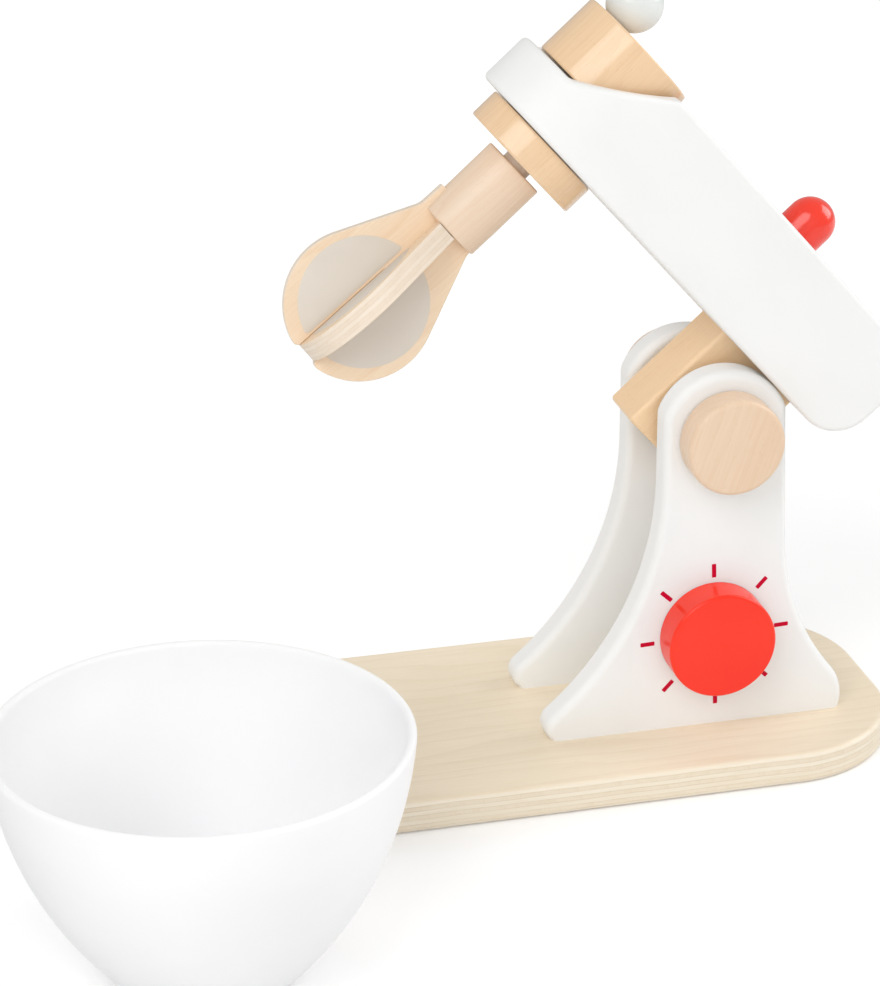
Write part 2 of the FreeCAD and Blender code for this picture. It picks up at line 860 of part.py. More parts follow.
def crank_knob_peg():
    body = rod(
        "crank_knob_peg",
        size.knob_peg_radius,
        drum_top - size.knob_peg_depth,
        drum_top + size.knob_peg_depth,
        centre=(shaft_x - size.knob_offset, ZERO),
    )
    return in_arm(body)


def drive_shaft():
    """The dowel from the crank drum down to the collar, with a socket for the whisk's stem."""
    body = rod(
        "drive_shaft",
        size.shaft_radius,
        collar_bottom,
        drum_bottom + size.drum_socket - size.glue_line,
        centre=(shaft_x, ZERO),
    )
    socket = Profile(body, "StemSocket", offset=collar_bottom).circle(
        (shaft_x, ZERO), size.stem_radius + size.sliding_fit
    )
    pocket(body, socket, size.stem_depth + size.side_play, backwards=True)
    return in_arm(body)


def drive_collar():
    body = rod(
        "drive_collar",
        size.collar_radius,
        collar_bottom,
        collar_top,
        centre=(shaft_x, ZERO),
        edge=size.wood_edge,
    )
    bore = Profile(body, "Bore", offset=collar_bottom).circle(
        (shaft_x, ZERO), size.shaft_radius + size.glue_line
    )
    pocket(body, bore, backwards=True)
    return in_arm(body)


# ---- whisk -----------------------------------------------------------------------------------

# The blades are drawn in a frame at the chuck's mouth, with Z up the shaft. They are glued in a
# little off the shaft's line, so this frame is turned, shifted and leans two ways.
BLADE_FRAME = (
    f"{move_to(x=shaft_x, z=chuck_bottom)}"
    " * placement(vector(0; 0; 0); rotation(vector(0; 0; 1); Sizes.whisk_turn))"
    " * placement(vector(-Sizes.whisk_shift; 0; 0); rotation(vector(0; 1; 0); Sizes.whisk_lean))"
    " * placement(vector(0; 0; 0); rotation(vector(1; 0; 0); -Sizes.whisk_side_lean))"
)
# A sketch on the XY plane of the arm's frame stands upright in the blade frame by one of these.
UPRIGHT_TURNS = {
    "XZ_Plane": "placement(vector(0; 0; 0); rotation(vector(1; 0; 0); 90))",
    "YZ_Plane": "placement(vector(0; 0; 0); rotation(vector(1; 1; 1); 120))",
}


def whisk_stem():
    body = rod(
        "whisk_stem",
        size.stem_radius,
        chuck_top - size.stem_depth,
        collar_bottom + size.stem_depth,
        centre=(shaft_x, ZERO),
    )
    return in_arm(body)


def blade_outline(body, plane, depth, root_half):
    """A round paddle whose straight sides run in to a root that the chuck holds.

    The paddle's centre is at a depth below the mouth. A root narrower than the neck stands on
    a ledge, and then hides inside the chuck.
    """
    profile = Profile(body, "Outline", plane)
    radius, centre_z = size.blade_radius.number, -depth.number
    neck, shoulder = size.blade_neck.number, -size.blade_shoulder.number
    rise = shoulder - centre_z
    reach = math.hypot(neck, rise)
    turn = math.atan2(rise, neck) - math.acos(radius / reach)
    touch = (radius * math.cos(turn), centre_z + radius * math.sin(turn))

    half = [(size.blade_neck, -size.blade_shoulder), (root_half, size.blade_root)]
    if root_half.number < neck:
        half.insert(1, (root_half, -size.blade_shoulder))
    corners = half + [(-x, z) for x, z in reversed(half)]
    numbers = [(x.number, z.number) for x, z in corners]

    paddle = profile.arc((0, centre_z), radius, (-touch[0], touch[1]), touch)
    right = profile.line(touch, numbers[0])
    sides = [profile.line(start, end) for start, end in zip(numbers, numbers[1:])]
    left = profile.line(numbers[-1], (-touch[0], touch[1]))
    profile.pin(paddle, CENTRE, (ZERO, -depth))
    profile.measure("Radius", paddle, size.blade_radius)
    profile.constrain("Tangent", paddle, END, right, START)
    profile.constrain("Tangent", left, END, paddle, START)
    chain = (right, *sides, left)
    for first, following, corner in zip(chain, chain[1:], corners):
        profile.constrain("Coincident", first, END, following, START)
        profile.pin(first, END, corner)
    return profile


def front_whisk_blade():
    """The blade across the shaft's line: a wide root in the chuck, and a slot from its tip."""
    body = new_body("front_whisk_blade")
    outline = blade_outline(body, "XZ_Plane", size.blade_centre, size.blade_neck)
    pad(body, outline, size.blade_thickness, both_ways=True)
    neck, shoulder = size.blade_neck.number, -size.blade_shoulder.number
    round_edges(
        body,
        size.blade_fillet,
        lambda e: level_at(e, shoulder) and near(abs(e.BoundBox.XMax), neck),
    )
    half = size.blade_thickness / 2 + size.glue_line
    beyond = size.blade_centre + size.blade_radius * 2
    slot = Profile(body, "Slot", "XZ_Plane").rectangle(-half, half, -beyond, -size.blade_meeting)
    pocket(body, slot, both_ways=True)
    half_n, below = half.number, -size.blade_centre.number

    def tip_corner(edge):
        box = edge.BoundBox
        return near(abs(box.XMax), half_n) and box.ZLength < 0.01 and box.ZMax < below

    round_edges(body, size.blade_corner, tip_corner)
    round_edges(body, size.blade_edge, lambda e: blade_rim(e, "XZ_Plane"))
    place(body, f"{ARM_PLACE} * {BLADE_FRAME}")
    return body


def cross_whisk_blade():
    """The blade across the other one: a hidden tenon in the chuck, and a slot from its root."""
    body = new_body("cross_whisk_blade")
    depth = size.blade_centre - size.cross_blade_rise
    outline = blade_outline(body, "YZ_Plane", depth, size.blade_tenon)
    pad(body, outline, size.blade_thickness, both_ways=True)
    half = size.blade_thickness / 2 + size.glue_line
    slot = Profile(body, "Slot", "YZ_Plane").rectangle(
        -half, half, -size.blade_meeting, size.blade_root * 2
    )
    pocket(body, slot, both_ways=True)
    round_edges(body, size.blade_edge, lambda e: blade_rim(e, "YZ_Plane"))
    place(body, f"{ARM_PLACE} * {BLADE_FRAME}")
    return body


def blade_rim(edge, plane):
    """True for the edges round a blade's two faces, below the chuck's mouth."""
    box = edge.BoundBox
    below = box.ZMin < -size.blade_shoulder.number - 0.01
    low, high = (box.YMin, box.YMax) if plane == "XZ_Plane" else (box.XMin, box.XMax)
    on_face = near(low, high) and near(abs(low), size.blade_thickness.number / 2)
    half_slot = size.blade_thickness.number / 2 + size.glue_line.number
    across = max(abs(box.XMin), abs(box.XMax)) if plane == "XZ_Plane" else max(
        abs(box.YMin), abs(box.YMax)
    )
    inside = near(box.ZMax, size.blade_root.number)
    return on_face and below and not inside and across > half_slot + 0.01


def whisk_chuck():
    """The turned holder of the blades: a stem socket above, a slot and a mortise below."""
    body = rod(
        "whisk_chuck",
        size.chuck_radius,
        chuck_bottom,
        chuck_top,
        centre=(shaft_x, ZERO),
        edge=size.wood_edge,
    )
    socket = Profile(body, "StemSocket", offset=chuck_top).circle(
        (shaft_x, ZERO), size.stem_radius + size.glue_line
    )
    pocket(body, socket, size.stem_depth + size.glue_line)
    beyond = size.chuck_radius * 2
    reaches = {"XZ_Plane": beyond, "YZ_Plane": size.blade_tenon + size.glue_line}
    for plane, reach in reaches.items():
        stand = f"{BLADE_FRAME} * {UPRIGHT_TURNS[plane]}"
        slot = Profile(body, "BladeSlot", placement=stand).rectangle(
            -reach, reach, -beyond, size.blade_root + size.glue_line
        )
        pocket(body, slot, size.blade_thickness + 2 * size.glue_line, both_ways=True)
    return in_arm(body)


# ---- dial ------------------------------------------------------------------------------------


def dial_knob():
    """The red disc that turns on the upright's outer face."""
    back = upright_outside + size.side_play
    front = back + size.dial_thickness
    centre = (-size.dial_ahead, ZERO)
    body = new_body("dial_knob")
    disc = Profile(body, "Disc", "XZ_Plane", offset=back).circle(centre, size.dial_radius)
    pad(body, disc, size.dial_thickness)
    front_y = -front.number
    round_edges(
        body,
        size.dial_edge,
        lambda e: near(e.BoundBox.YMin, front_y) and near(e.BoundBox.YMax, front_y),
    )
    hole = Profile(body, "ScrewHole", "XZ_Plane", offset=back).circle(
        centre, size.dial_screw_radius + size.glue_line
    )
    pocket(body, hole, size.dial_screw_depth + size.side_play, backwards=True)
    return at_dial(body)


def at_dial(body):
    place(body, move_to(z=size.base_thickness + size.dial_height))
    return body


def dial_washer():
    """The washer between the screw's head and the upright's inner face."""
    outside = upright_inside - size.side_play
    centre = (-size.dial_ahead, ZERO)
    body = rod(
        "dial_washer",
        size.dial_washer_radius,
        outside - size.dial_washer_thickness,
        outside,
        "XZ_Plane",
        centre,
    )
    bore = Profile(body, "Bore", "XZ_Plane").circle(
        centre, size.dial_screw_radius + size.glue_line
    )
    pocket(body, bore, both_ways=True)
    return at_dial(body)


def dial_screw():
    """The screw that the dial turns with: head in the gap, thread in the dial's back."""
    body = new_body("dial_screw")
    head_top = upright_inside - size.side_play - size.dial_washer_thickness
    head_end = head_top - size.screw_head_height
    tip = upright_outside + size.side_play + size.dial_screw_depth
    head, shank = size.screw_head_radius, size.dial_screw_radius
    half = Profile(body, "Half").polygon(
        [
            (ZERO, -head_end),
            (head, -head_end),
            (head, -head_top),
            (shank, -head_top),
            (shank, shank - tip),
            (ZERO, -tip),
        ]
    )
    revolve(body, half, "Y_Axis")
    head_radius, end_y = head.number, -head_end.number
    round_edges(
        body,
        size.screw_head_edge,
        lambda e: round_edge_of(e, head_radius) and near(e.BoundBox.YMin, end_y),
    )
    drive = Profile(body, "Drive", "XZ_Plane", offset=head_end).polygon(
        cross_points(size.drive_reach, size.drive_half_width)
    )
    pocket(body, drive, size.drive_depth, backwards=True)
    place(body, move_to(x=-size.dial_ahead, z=size.base_thickness + size.dial_height))
    return body


# ---- bowl ------------------------------------------------------------------------------------


def mixing_bowl():
    """A turned bowl: one arc for the outside, a second at an even wall for the inside."""
    body = new_body("mixing_bowl")
    foot, rim, height = (
        value.number for value in (size.bowl_foot, size.bowl_rim, size.bowl_height)
    )
    radius, wall, floor = (
        value.number for value in (size.bowl_wall_radius, size.bowl_wall, size.bowl_floor)
    )
    chord = math.hypot(rim - foot, height)
    sag = math.sqrt(radius**2 - (chord / 2) ** 2)
    centre = (
        (foot + rim) / 2 - height / chord * sag,
        height / 2 + (rim - foot) / chord * sag,
    )
    inner = radius - wall
    inner_rim = centre[0] + math.sqrt(inner**2 - (height - centre[1]) ** 2)
    inner_foot = centre[0] + math.sqrt(inner**2 - (floor - centre[1]) ** 2)

    profile = Profile(body, "Half", "XZ_Plane")
    bottom = profile.line((0, 0), (foot, 0))
    outside = profile.arc(centre, radius, (foot, 0), (rim, height))
    lip = profile.line((rim, height), (inner_rim, height))
    inside = profile.arc(centre, inner, (inner_foot, floor), (inner_rim, height))
    inner_floor = profile.line((inner_foot, floor), (0, floor))
    axis = profile.line((0, floor), (0, 0))
    profile.pin(bottom, START, (ZERO, ZERO))
    profile.pin(bottom, END, (size.bowl_foot, ZERO))
    profile.constrain("Coincident", bottom, END, outside, START)
    profile.pin(outside, END, (size.bowl_rim, size.bowl_height))
    profile.measure("Radius", outside, size.bowl_wall_radius)
    profile.constrain("Coincident", outside, END, lip, START)
    profile.constrain("Horizontal", lip)
    profile.constrain("Coincident", lip, END, inside, END)
    profile.constrain("Coincident", inside, CENTRE, outside, CENTRE)
    profile.measure("Radius", inside, size.bowl_wall_radius - size.bowl_wall)
    profile.constrain("Coincident", inside, START, inner_floor, START)
    profile.constrain("Horizontal", inner_floor)
    profile.constrain("Coincident", inner_floor, END, axis, START)
    profile.pin(axis, START, (ZERO, size.bowl_floor))
    profile.constrain("Coincident", axis, END, bottom, START)
    revolve(body, profile)
    round_edges(body, size.bowl_edge, lambda e: level_at(e, height))
    round_edges(body, size.bowl_foot_edge, lambda e: level_at(e, 0) and round_edge_of(e, foot))
    round_edges(body, size.bowl_floor_round, lambda e: level_at(e, floor))
    place(body, move_to(x=-size.bowl_ahead, y=-size.bowl_aside))
    return body


# ---- the whole toy ---------------------------------------------------------------------------


def check_document():
    """Stops if any object failed to rebuild or any piece has no sound solid."""
    for item in doc.Objects:
        if {"Invalid", "Error"} & set(item.State):
            raise RuntimeError(f"{item.Label}: {item.State}")
    for piece in pieces:
        if piece.Shape.isNull() or not piece.Shape.isValid() or not piece.Shape.Solids:
            raise RuntimeError(f"{piece.Label}: no sound solid")


def write_pieces():
    os.makedirs("parts", exist_ok=True)
    for piece in pieces:
        piece.Shape.exportStep(f"parts/{piece.Label}.step")


base_board()
for upright_label, upright_side in (("right_upright", -1), ("left_upright", 1)):
    upright(upright_label, upright_side)
upright_screws()

hinge_block()
block_dowels()
pivot_dowel()
for word, pivot_side in (("right", -1), ("left", 1)):
    pivot_cap(f"{word}_pivot_cap", pivot_side)
    pivot_washer(f"{word}_pivot_washer", pivot_side)
arm_beam()
start_button()

crank_drum()
crank_knob()
crank_knob_peg()
drive_shaft()
drive_collar()

whisk_stem()
whisk_chuck()
front_whisk_blade()
cross_whisk_blade()

dial_knob()
dial_washer()
dial_screw()

mixing_bowl()

doc.recompute()
check_document()
write_pieces()
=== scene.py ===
"""A wooden toy stand mixer: the paint, wood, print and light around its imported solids."""

import json
import logging
import math
from collections.abc import Iterable, Mapping
from dataclasses import dataclass, field
from enum import Enum
from typing import Any

import bmesh
import bpy
from mathutils import Matrix, Vector


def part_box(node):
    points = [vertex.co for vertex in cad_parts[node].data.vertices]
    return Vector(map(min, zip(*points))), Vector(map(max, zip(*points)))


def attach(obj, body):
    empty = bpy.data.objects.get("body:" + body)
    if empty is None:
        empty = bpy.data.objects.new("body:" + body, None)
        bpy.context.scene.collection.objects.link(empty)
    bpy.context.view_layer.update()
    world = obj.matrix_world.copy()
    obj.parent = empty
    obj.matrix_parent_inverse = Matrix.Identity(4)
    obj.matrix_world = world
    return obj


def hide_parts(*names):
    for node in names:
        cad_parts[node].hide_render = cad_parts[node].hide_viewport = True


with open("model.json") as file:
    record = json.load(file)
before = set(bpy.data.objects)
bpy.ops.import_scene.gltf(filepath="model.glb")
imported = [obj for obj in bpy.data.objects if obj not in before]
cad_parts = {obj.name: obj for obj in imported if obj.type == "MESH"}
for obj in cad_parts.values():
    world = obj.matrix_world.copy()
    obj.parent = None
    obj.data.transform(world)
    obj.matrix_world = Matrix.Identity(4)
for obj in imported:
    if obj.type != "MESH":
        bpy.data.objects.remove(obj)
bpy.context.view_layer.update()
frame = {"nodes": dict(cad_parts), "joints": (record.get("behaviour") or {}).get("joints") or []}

LOG = logging.getLogger("stand_mixer")
Rgb = tuple[int, int, int]
Span = tuple[float, float]
Triple = tuple[float, float, float]
Feed = bpy.types.NodeSocket | float | tuple[float, ...]
MM = 0.001
PER_METRE = 1 / MM
AXIS_X, AXIS_Y, AXIS_Z = Vector((1, 0, 0)), Vector((0, 1, 0)), Vector((0, 0, 1))
WHITE = (1.0, 1.0, 1.0, 1.0)
WELD = 1e-7  # metres within which two points are one
SAME_HEIGHT = 1e-6  # metres within which two points are level
CREASE = math.radians(35)  # faces that meet at more than this stay sharp


class Body(Enum):
    """The bodies that pieces made here ride on."""

    ROOT = "root"
    WHISK = "whisk"
    BOWL = "bowl"


class Slot(Enum):
    """The parts list's finishes for the pieces made here."""

    BLADE_PLYWOOD = "blade_plywood"
    RED_PAINT = "red_paint"
    BOWL_WHITE = "bowl_white"


# ---- places ------------------------------------------------------------------------------------


def axes(origin: Vector, along: Vector, up: Vector) -> Matrix:
    """Make a right-handed frame from an origin and two directions.

    Args:
        origin: Where the frame stands.
        along: The direction of its X axis.
        up: The direction of its Z axis, square to the X axis.

    Returns:
        The frame as a matrix from its own coordinates to the mixer's.
    """
    x, z = along.normalized(), up.normalized()
    turn = Matrix((x, z.cross(x), z)).transposed().to_4x4()
    return Matrix.Translation(origin) @ turn


@dataclass(frozen=True)
class Places:
    """The frames that the pieces are drawn in, taken from the mixer's joints."""

    arm: Matrix
    crank: Matrix
    dial: Matrix
    bowl: Matrix

    @classmethod
    def from_joints(cls, joints: Iterable[Mapping[str, Any]]) -> "Places":
        """Read the frames off the joints.

        Args:
            joints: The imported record's joints.

        Returns:
            The arm's frame on the pivot, the crank's on the drive shaft, the dial's on its screw
            with Z pointing out of the upright, and the bowl's on the table under its middle.
        """
        found = {joint["name"]: joint for joint in joints}
        tilt, spin, turn = found["arm_tilt"], found["crank_spin"], found["dial_turn"]
        shaft = Vector(spin["axis"])
        along = AXIS_Y.cross(shaft)
        low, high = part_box("mixing_bowl")
        middle = (low + high) / 2
        return cls(
            arm=axes(Vector(tilt["pos_m"]), along, shaft),
            crank=axes(Vector(spin["pos_m"]), along, shaft),
            dial=axes(Vector(turn["pos_m"]), AXIS_X, -AXIS_Y),
            bowl=axes(Vector((middle.x, middle.y, low.z)), AXIS_X, AXIS_Z),
        )


# ---- shader nodes ------------------------------------------------------------------------------


def linear(colour: Rgb) -> tuple[float, float, float, float]:
    """Turn a display colour in bytes into the linear colour that shaders use.

    Args:
        colour: Red, green and blue from 0 to 255.

    Returns:
        The linear colour, with an alpha of 1.
    """
    shares = (value / 255 for value in colour)
    red, green, blue = (s / 12.92 if s <= 0.04045 else ((s + 0.055) / 1.055) ** 2.4 for s in shares)
    return (red, green, blue, 1.0)


class Wiring:
    """Adds nodes to one node tree and joins their sockets."""

    def __init__(self, tree: bpy.types.NodeTree) -> None:
        """Hold the tree that the nodes go into."""
        self.tree = tree

    def add(
        self, kind: str, inputs: Mapping[Any, Feed] | None = None, **settings: Any
    ) -> bpy.types.Node:
        """Add a node.

        Args:
            kind: The node's type, without the ShaderNode that all share.
            inputs: What feeds its inputs, by name or number: a socket, a number or a vector.
            settings: Properties to set on it first.

        Returns:
            The node.
        """
        node = self.tree.nodes.new(f"ShaderNode{kind}")
        for name, value in settings.items():
            setattr(node, name, value)
        for key, value in (inputs or {}).items():
            self.feed(node.inputs[key], value)
        return node

    def feed(self, socket: bpy.types.NodeSocket, value: Feed) -> None:
        """Join a socket to another, or set its own value.

        Args:
            socket: The input.
            value: Another socket, or the value.
        """
        if isinstance(value, bpy.types.NodeSocket):
            self.tree.links.new(value, socket)
        else:
            socket.default_value = value

    def math(self, operation: str, *values: Feed, clamp: bool = False) -> bpy.types.NodeSocket:
        """Return the result of a Math node on the given values."""
        node = self.add("Math", dict(enumerate(values)), operation=operation, use_clamp=clamp)
        return node.outputs[0]

    def vector(self, operation: str, *values: Feed) -> bpy.types.NodeSocket:
        """Return the vector result of a Vector Math node on the given values."""
        node = self.add("VectorMath", dict(enumerate(values)), operation=operation)
        return node.outputs[0]

    def dot(self, first: Feed, second: Feed) -> bpy.types.NodeSocket:
        """Return the dot product of two vectors."""
        node = self.add("VectorMath", {0: first, 1: second}, operation="DOT_PRODUCT")
        return node.outputs["Value"]

    def length(self, value: Feed) -> bpy.types.NodeSocket:
        """Return the length of a vector."""
        return self.add("VectorMath", {0: value}, operation="LENGTH").outputs["Value"]

    def scaled(self, value: Feed, scale: Triple) -> bpy.types.NodeSocket:
        """Return a vector with each of its parts scaled by its own amount."""
        return self.vector("MULTIPLY", value, scale)

    def remap(
        self, value: Feed, source: Span, result: Span = (0.0, 1.0)
    ) -> bpy.types.NodeSocket:
        """Ease a value from one range into another.

        Args:
            value: What is mapped.
            source: The ends of the range it comes from; beyond them it stays at the result's ends.
            result: The ends of the range it goes to.

        Returns:
            The mapped value.
        """
        ends = dict(zip(("From Min", "From Max", "To Min", "To Max"), (*source, *result)))
        node = self.add("MapRange", {"Value": value, **ends}, interpolation_type="SMOOTHSTEP")
        return node.outputs["Result"]

    def noise(
        self, place: Feed, scale: Triple, detail: float = 2.0, roughness: float = 0.5
    ) -> bpy.types.NodeSocket:
        """Make noise of about 0 to 1.

        Args:
            place: Where it is read.
            scale: How many of its grains go to one unit, along each axis.
            detail: How many finer layers lie over the first.
            roughness: How strong each is against the one before.

        Returns:
            The noise.
        """
        layers = {"Scale": 1.0, "Detail": detail, "Roughness": roughness}
        return self.add("TexNoise", {"Vector": self.scaled(place, scale), **layers}).outputs["Fac"]

    def mix(self, factor: Feed, first: Feed, second: Feed) -> bpy.types.NodeSocket:
        """Return a colour between two, by a factor of 0 to 1."""
        node = self.add("Mix", {0: factor, 6: first, 7: second}, data_type="RGBA")
        return node.outputs[2]

    def bump(self, height: Feed, relief: float) -> bpy.types.NodeSocket:
        """Return the normals of a surface with a relief.

        Args:
            height: The height field, from 0 to 1.
            relief: What a height of 1 stands for, in metres.

        Returns:
            The normal.
        """
        return self.add("Bump", {"Height": height, "Distance": relief}).outputs["Normal"]

    def group(self, tree: bpy.types.NodeTree, **values: Feed) -> bpy.types.Node:
        """Place a shared effect.

        Args:
            tree: The effect.
            values: What feeds its inputs, whose names have _ for each space.

        Returns:
            The node that stands for it.
        """
        node = self.tree.nodes.new("ShaderNodeGroup")
        node.node_tree = tree
        for name, value in values.items():
            self.feed(node.inputs[name.replace("_", " ")], value)
        return node


class Effect:
    """A shader node group with named inputs and outputs, built once and shared by materials."""

    def __init__(self, name: str, inputs: Mapping[str, Any], outputs: Iterable[str]) -> None:
        """Make the empty group.

        Args:
            name: The group's name.
            inputs: Its inputs with their default values; a default of None makes a vector.
            outputs: Its outputs, each a single number.
        """
        self.tree = bpy.data.node_groups.new(name, "ShaderNodeTree")
        for label, default in inputs.items():
            kind = "NodeSocketVector" if default is None else "NodeSocketFloat"
            socket = self.tree.interface.new_socket(label, in_out="INPUT", socket_type=kind)
            if default is not None:
                socket.default_value = default
        for label in outputs:
            self.tree.interface.new_socket(label, in_out="OUTPUT", socket_type="NodeSocketFloat")
        self.wiring = Wiring(self.tree)
        self.given = self.tree.nodes.new("NodeGroupInput").outputs
        self.result = self.tree.nodes.new("NodeGroupOutput").inputs

    def give(self, **values: Feed) -> bpy.types.NodeTree:
        """Feed the group's outputs.

        Args:
            values: What feeds each output, by its name.

        Returns:
            The group's tree.
        """
        for name, value in values.items():
            self.wiring.feed(self.result[name], value)
        return self.tree


def wood_grain() -> bpy.types.NodeTree:
    """Make the grain of sawn wood, which runs along X, in millimetres.

    Returns:
        The group. Tone is 0 in pale wood and 1 in dark; Height is its relief.
    """
    inputs = {"Vector": None, "Ring Width": 3.0, "Rings": 0.4, "Fibres": 0.4, "Flecks": 0.5}
    effect = Effect("wood_grain", inputs, ("Tone", "Height"))
    w, given = effect.wiring, effect.given
    place = given["Vector"]
    pith = (0.0, 31.0, 57.0)  # how far off the trunk's heart is
    drift_reach, wander_reach = 26.0, 2.5  # how far the rings stray, slowly and quickly
    late_rise = 2.6  # how late and steeply each ring darkens
    drift_tone, fibre_depth, fleck_depth = 0.5, -0.6, -0.4
    drift = w.noise(place, scale=(0.010, 0.045, 0.045), detail=1.5)
    wander = w.noise(place, scale=(0.035, 0.22, 0.22))
    from_pith = w.length(w.vector("ADD", w.scaled(place, (0.0, 1.0, 1.0)), pith))
    warped = w.math("ADD", from_pith, w.math("MULTIPLY", drift, drift_reach))
    warped = w.math("ADD", warped, w.math("MULTIPLY", wander, wander_reach))
    ring = w.math("FRACT", w.math("DIVIDE", warped, given["Ring Width"]))
    ring_end = w.remap(ring, (0.9, 1.0), (1.0, 0.0))
    late = w.math("MULTIPLY", w.math("POWER", ring, late_rise), ring_end)
    fibres = w.noise(place, scale=(0.05, 1.5, 1.5), detail=5.0, roughness=0.62)
    fibre = w.remap(fibres, (0.3, 0.74))
    cell_place = w.scaled(place, (0.34, 1.15, 1.15))
    cells = w.add("TexVoronoi", {"Vector": cell_place, "Scale": 1.0}).outputs
    chosen = w.remap(w.dot(cells["Color"], (0.7, 0.3, 0.0)), (0.55, 0.75))
    fleck = w.math("MULTIPLY", w.remap(cells["Distance"], (0.14, 0.30), (1.0, 0.0)), chosen)
    tone = w.math("MULTIPLY", late, given["Rings"])
    tone = w.math("MULTIPLY_ADD", fibre, given["Fibres"], tone)
    tone = w.math("MULTIPLY_ADD", fleck, given["Flecks"], tone)
    tone = w.math("MULTIPLY_ADD", w.math("SUBTRACT", drift, 0.5), drift_tone, tone, clamp=True)
    height = w.math("MULTIPLY_ADD", fibre, fibre_depth, w.math("MULTIPLY", fleck, fleck_depth))
    return effect.give(Tone=tone, Height=w.math("ADD", height, 1.0))


def ply_layers(grain: bpy.types.NodeTree) -> bpy.types.NodeTree:
    """Make glued veneers in millimetres, stacked up from Z = 0, with grain along X and Y by turns.

    Args:
        grain: The grain of each veneer.

    Returns:
        The group. Tone is 0 in pale wood and 1 in dark; Edge marks the sawn edge; Glue marks the
        lines between veneers there; Height is the relief.
    """
    vectors = {"Vector": None, "Normal": None}
    numbers = {"Ply": 1.7, "Plies": 7.0, "Grain": 1.0, "End Grain": 0.4}
    effect = Effect("ply_layers", vectors | numbers, ("Tone", "Edge", "Glue", "Height"))
    w, given = effect.wiring, effect.given
    place, normal = given["Vector"], given["Normal"]
    wave_height, end_depth, glue_depth = 0.8, -0.8, -0.5
    layer_shift = (61.7, 23.1)  # how far apart neighbouring veneers read the grain
    wave = w.math("SUBTRACT", w.noise(place, scale=(0.045, 0.045, 0.0)), 0.5)
    height = w.math("MULTIPLY_ADD", wave, wave_height, w.dot(place, (0.0, 0.0, 1.0)))
    stack = w.math("DIVIDE", height, given["Ply"])
    top = w.math("SUBTRACT", given["Plies"], 1.0)
    layer = w.math("MINIMUM", w.math("MAXIMUM", w.math("FLOOR", stack), 0.0), top)
    crossed = w.math("ABSOLUTE", w.math("MODULO", layer, 2.0))
    shift_x, shift_y = (w.math("MULTIPLY", layer, shift) for shift in layer_shift)
    own = w.vector("ADD", place, w.add("CombineXYZ", {"X": shift_x, "Y": shift_y}).outputs[0])
    parts = w.add("SeparateXYZ", {0: own}).outputs
    turned = w.add("CombineXYZ", {"X": parts["Y"], "Y": parts["X"], "Z": parts["Z"]}).outputs[0]
    along = w.add("Mix", {0: crossed, 4: own, 5: turned}, data_type="VECTOR").outputs[1]
    looks = {"Ring_Width": 7.0, "Rings": 0.30, "Fibres": 0.30, "Flecks": 0.10}
    veneer = w.group(grain, Vector=along, **looks).outputs
    end_x = w.math("ABSOLUTE", w.dot(normal, (1.0, 0.0, 0.0)))
    end_y = w.math("ABSOLUTE", w.dot(normal, (0.0, 1.0, 0.0)))
    end_grain = w.add("Mix", {0: crossed, 2: end_x, 3: end_y}, data_type="FLOAT").outputs[0]
    end_tone = w.math("MULTIPLY", w.remap(end_grain, (0.35, 0.95)), given["End Grain"])
    seam = w.math("MINIMUM", w.math("MAXIMUM", w.math("ROUND", stack), 1.0), top)
    gap = w.math("ABSOLUTE", w.math("SUBTRACT", stack, seam))
    side = w.remap(w.math("ABSOLUTE", w.dot(normal, (0.0, 0.0, 1.0))), (0.5, 0.95), (1.0, 0.0))
    spread = w.noise(own, scale=(0.03, 0.03, 0.4), detail=3.0)
    glue = w.math("MULTIPLY", w.remap(gap, (0.03, 0.16), (1.0, 0.0)), side)
    glue = w.math("MULTIPLY", glue, w.remap(spread, (0.35, 0.65), (0.25, 1.0)))
    tone = w.math("MULTIPLY_ADD", veneer["Tone"], given["Grain"], end_tone, clamp=True)
    relief = w.math("MULTIPLY_ADD", end_tone, end_depth, veneer["Height"])
    relief = w.math("MULTIPLY_ADD", glue, glue_depth, relief)
    return effect.give(Tone=tone, Edge=side, Glue=glue, Height=relief)


def paint_skin() -> bpy.types.NodeTree:
    """Make the skin of sprayed paint over wood, in millimetres, with the grain along X.

    Returns:
        The group. Height is the orange peel and the grain that shows through; Patch is a slow
        drift of 0 to 1 for the colour and the gloss.
    """
    effect = Effect("paint_skin", {"Vector": None, "Peel": 0.5, "Grain": 0.5}, ("Height", "Patch"))
    w, given = effect.wiring, effect.given
    place = given["Vector"]
    peel = w.noise(place, scale=(0.55, 0.55, 0.55), roughness=0.4)
    raised = w.noise(place, scale=(0.03, 0.9, 0.9), detail=4.0, roughness=0.6)
    patch = w.noise(place, scale=(0.018, 0.03, 0.03), detail=3.0)
    height = w.math("MULTIPLY_ADD", raised, given["Grain"], w.math("MULTIPLY", peel, given["Peel"]))
    return effect.give(Height=height, Patch=w.remap(patch, (0.3, 0.7)))


# ---- finishes ----------------------------------------------------------------------------------


class Effects:
    """The shared shader effects."""

    def __init__(self) -> None:
        """Build each effect once."""
        self.grain = wood_grain()
        self.layers = ply_layers(self.grain)
        self.paint = paint_skin()


def blank_material(name: str) -> tuple[bpy.types.Material, Wiring]:
    """Make a material without nodes.

    Args:
        name: Its name.

    Returns:
        The material, and the wiring of its nodes.
    """
    material = bpy.data.materials.new(name)
    material.use_nodes = True
    material.node_tree.nodes.clear()
    return material, Wiring(material.node_tree)


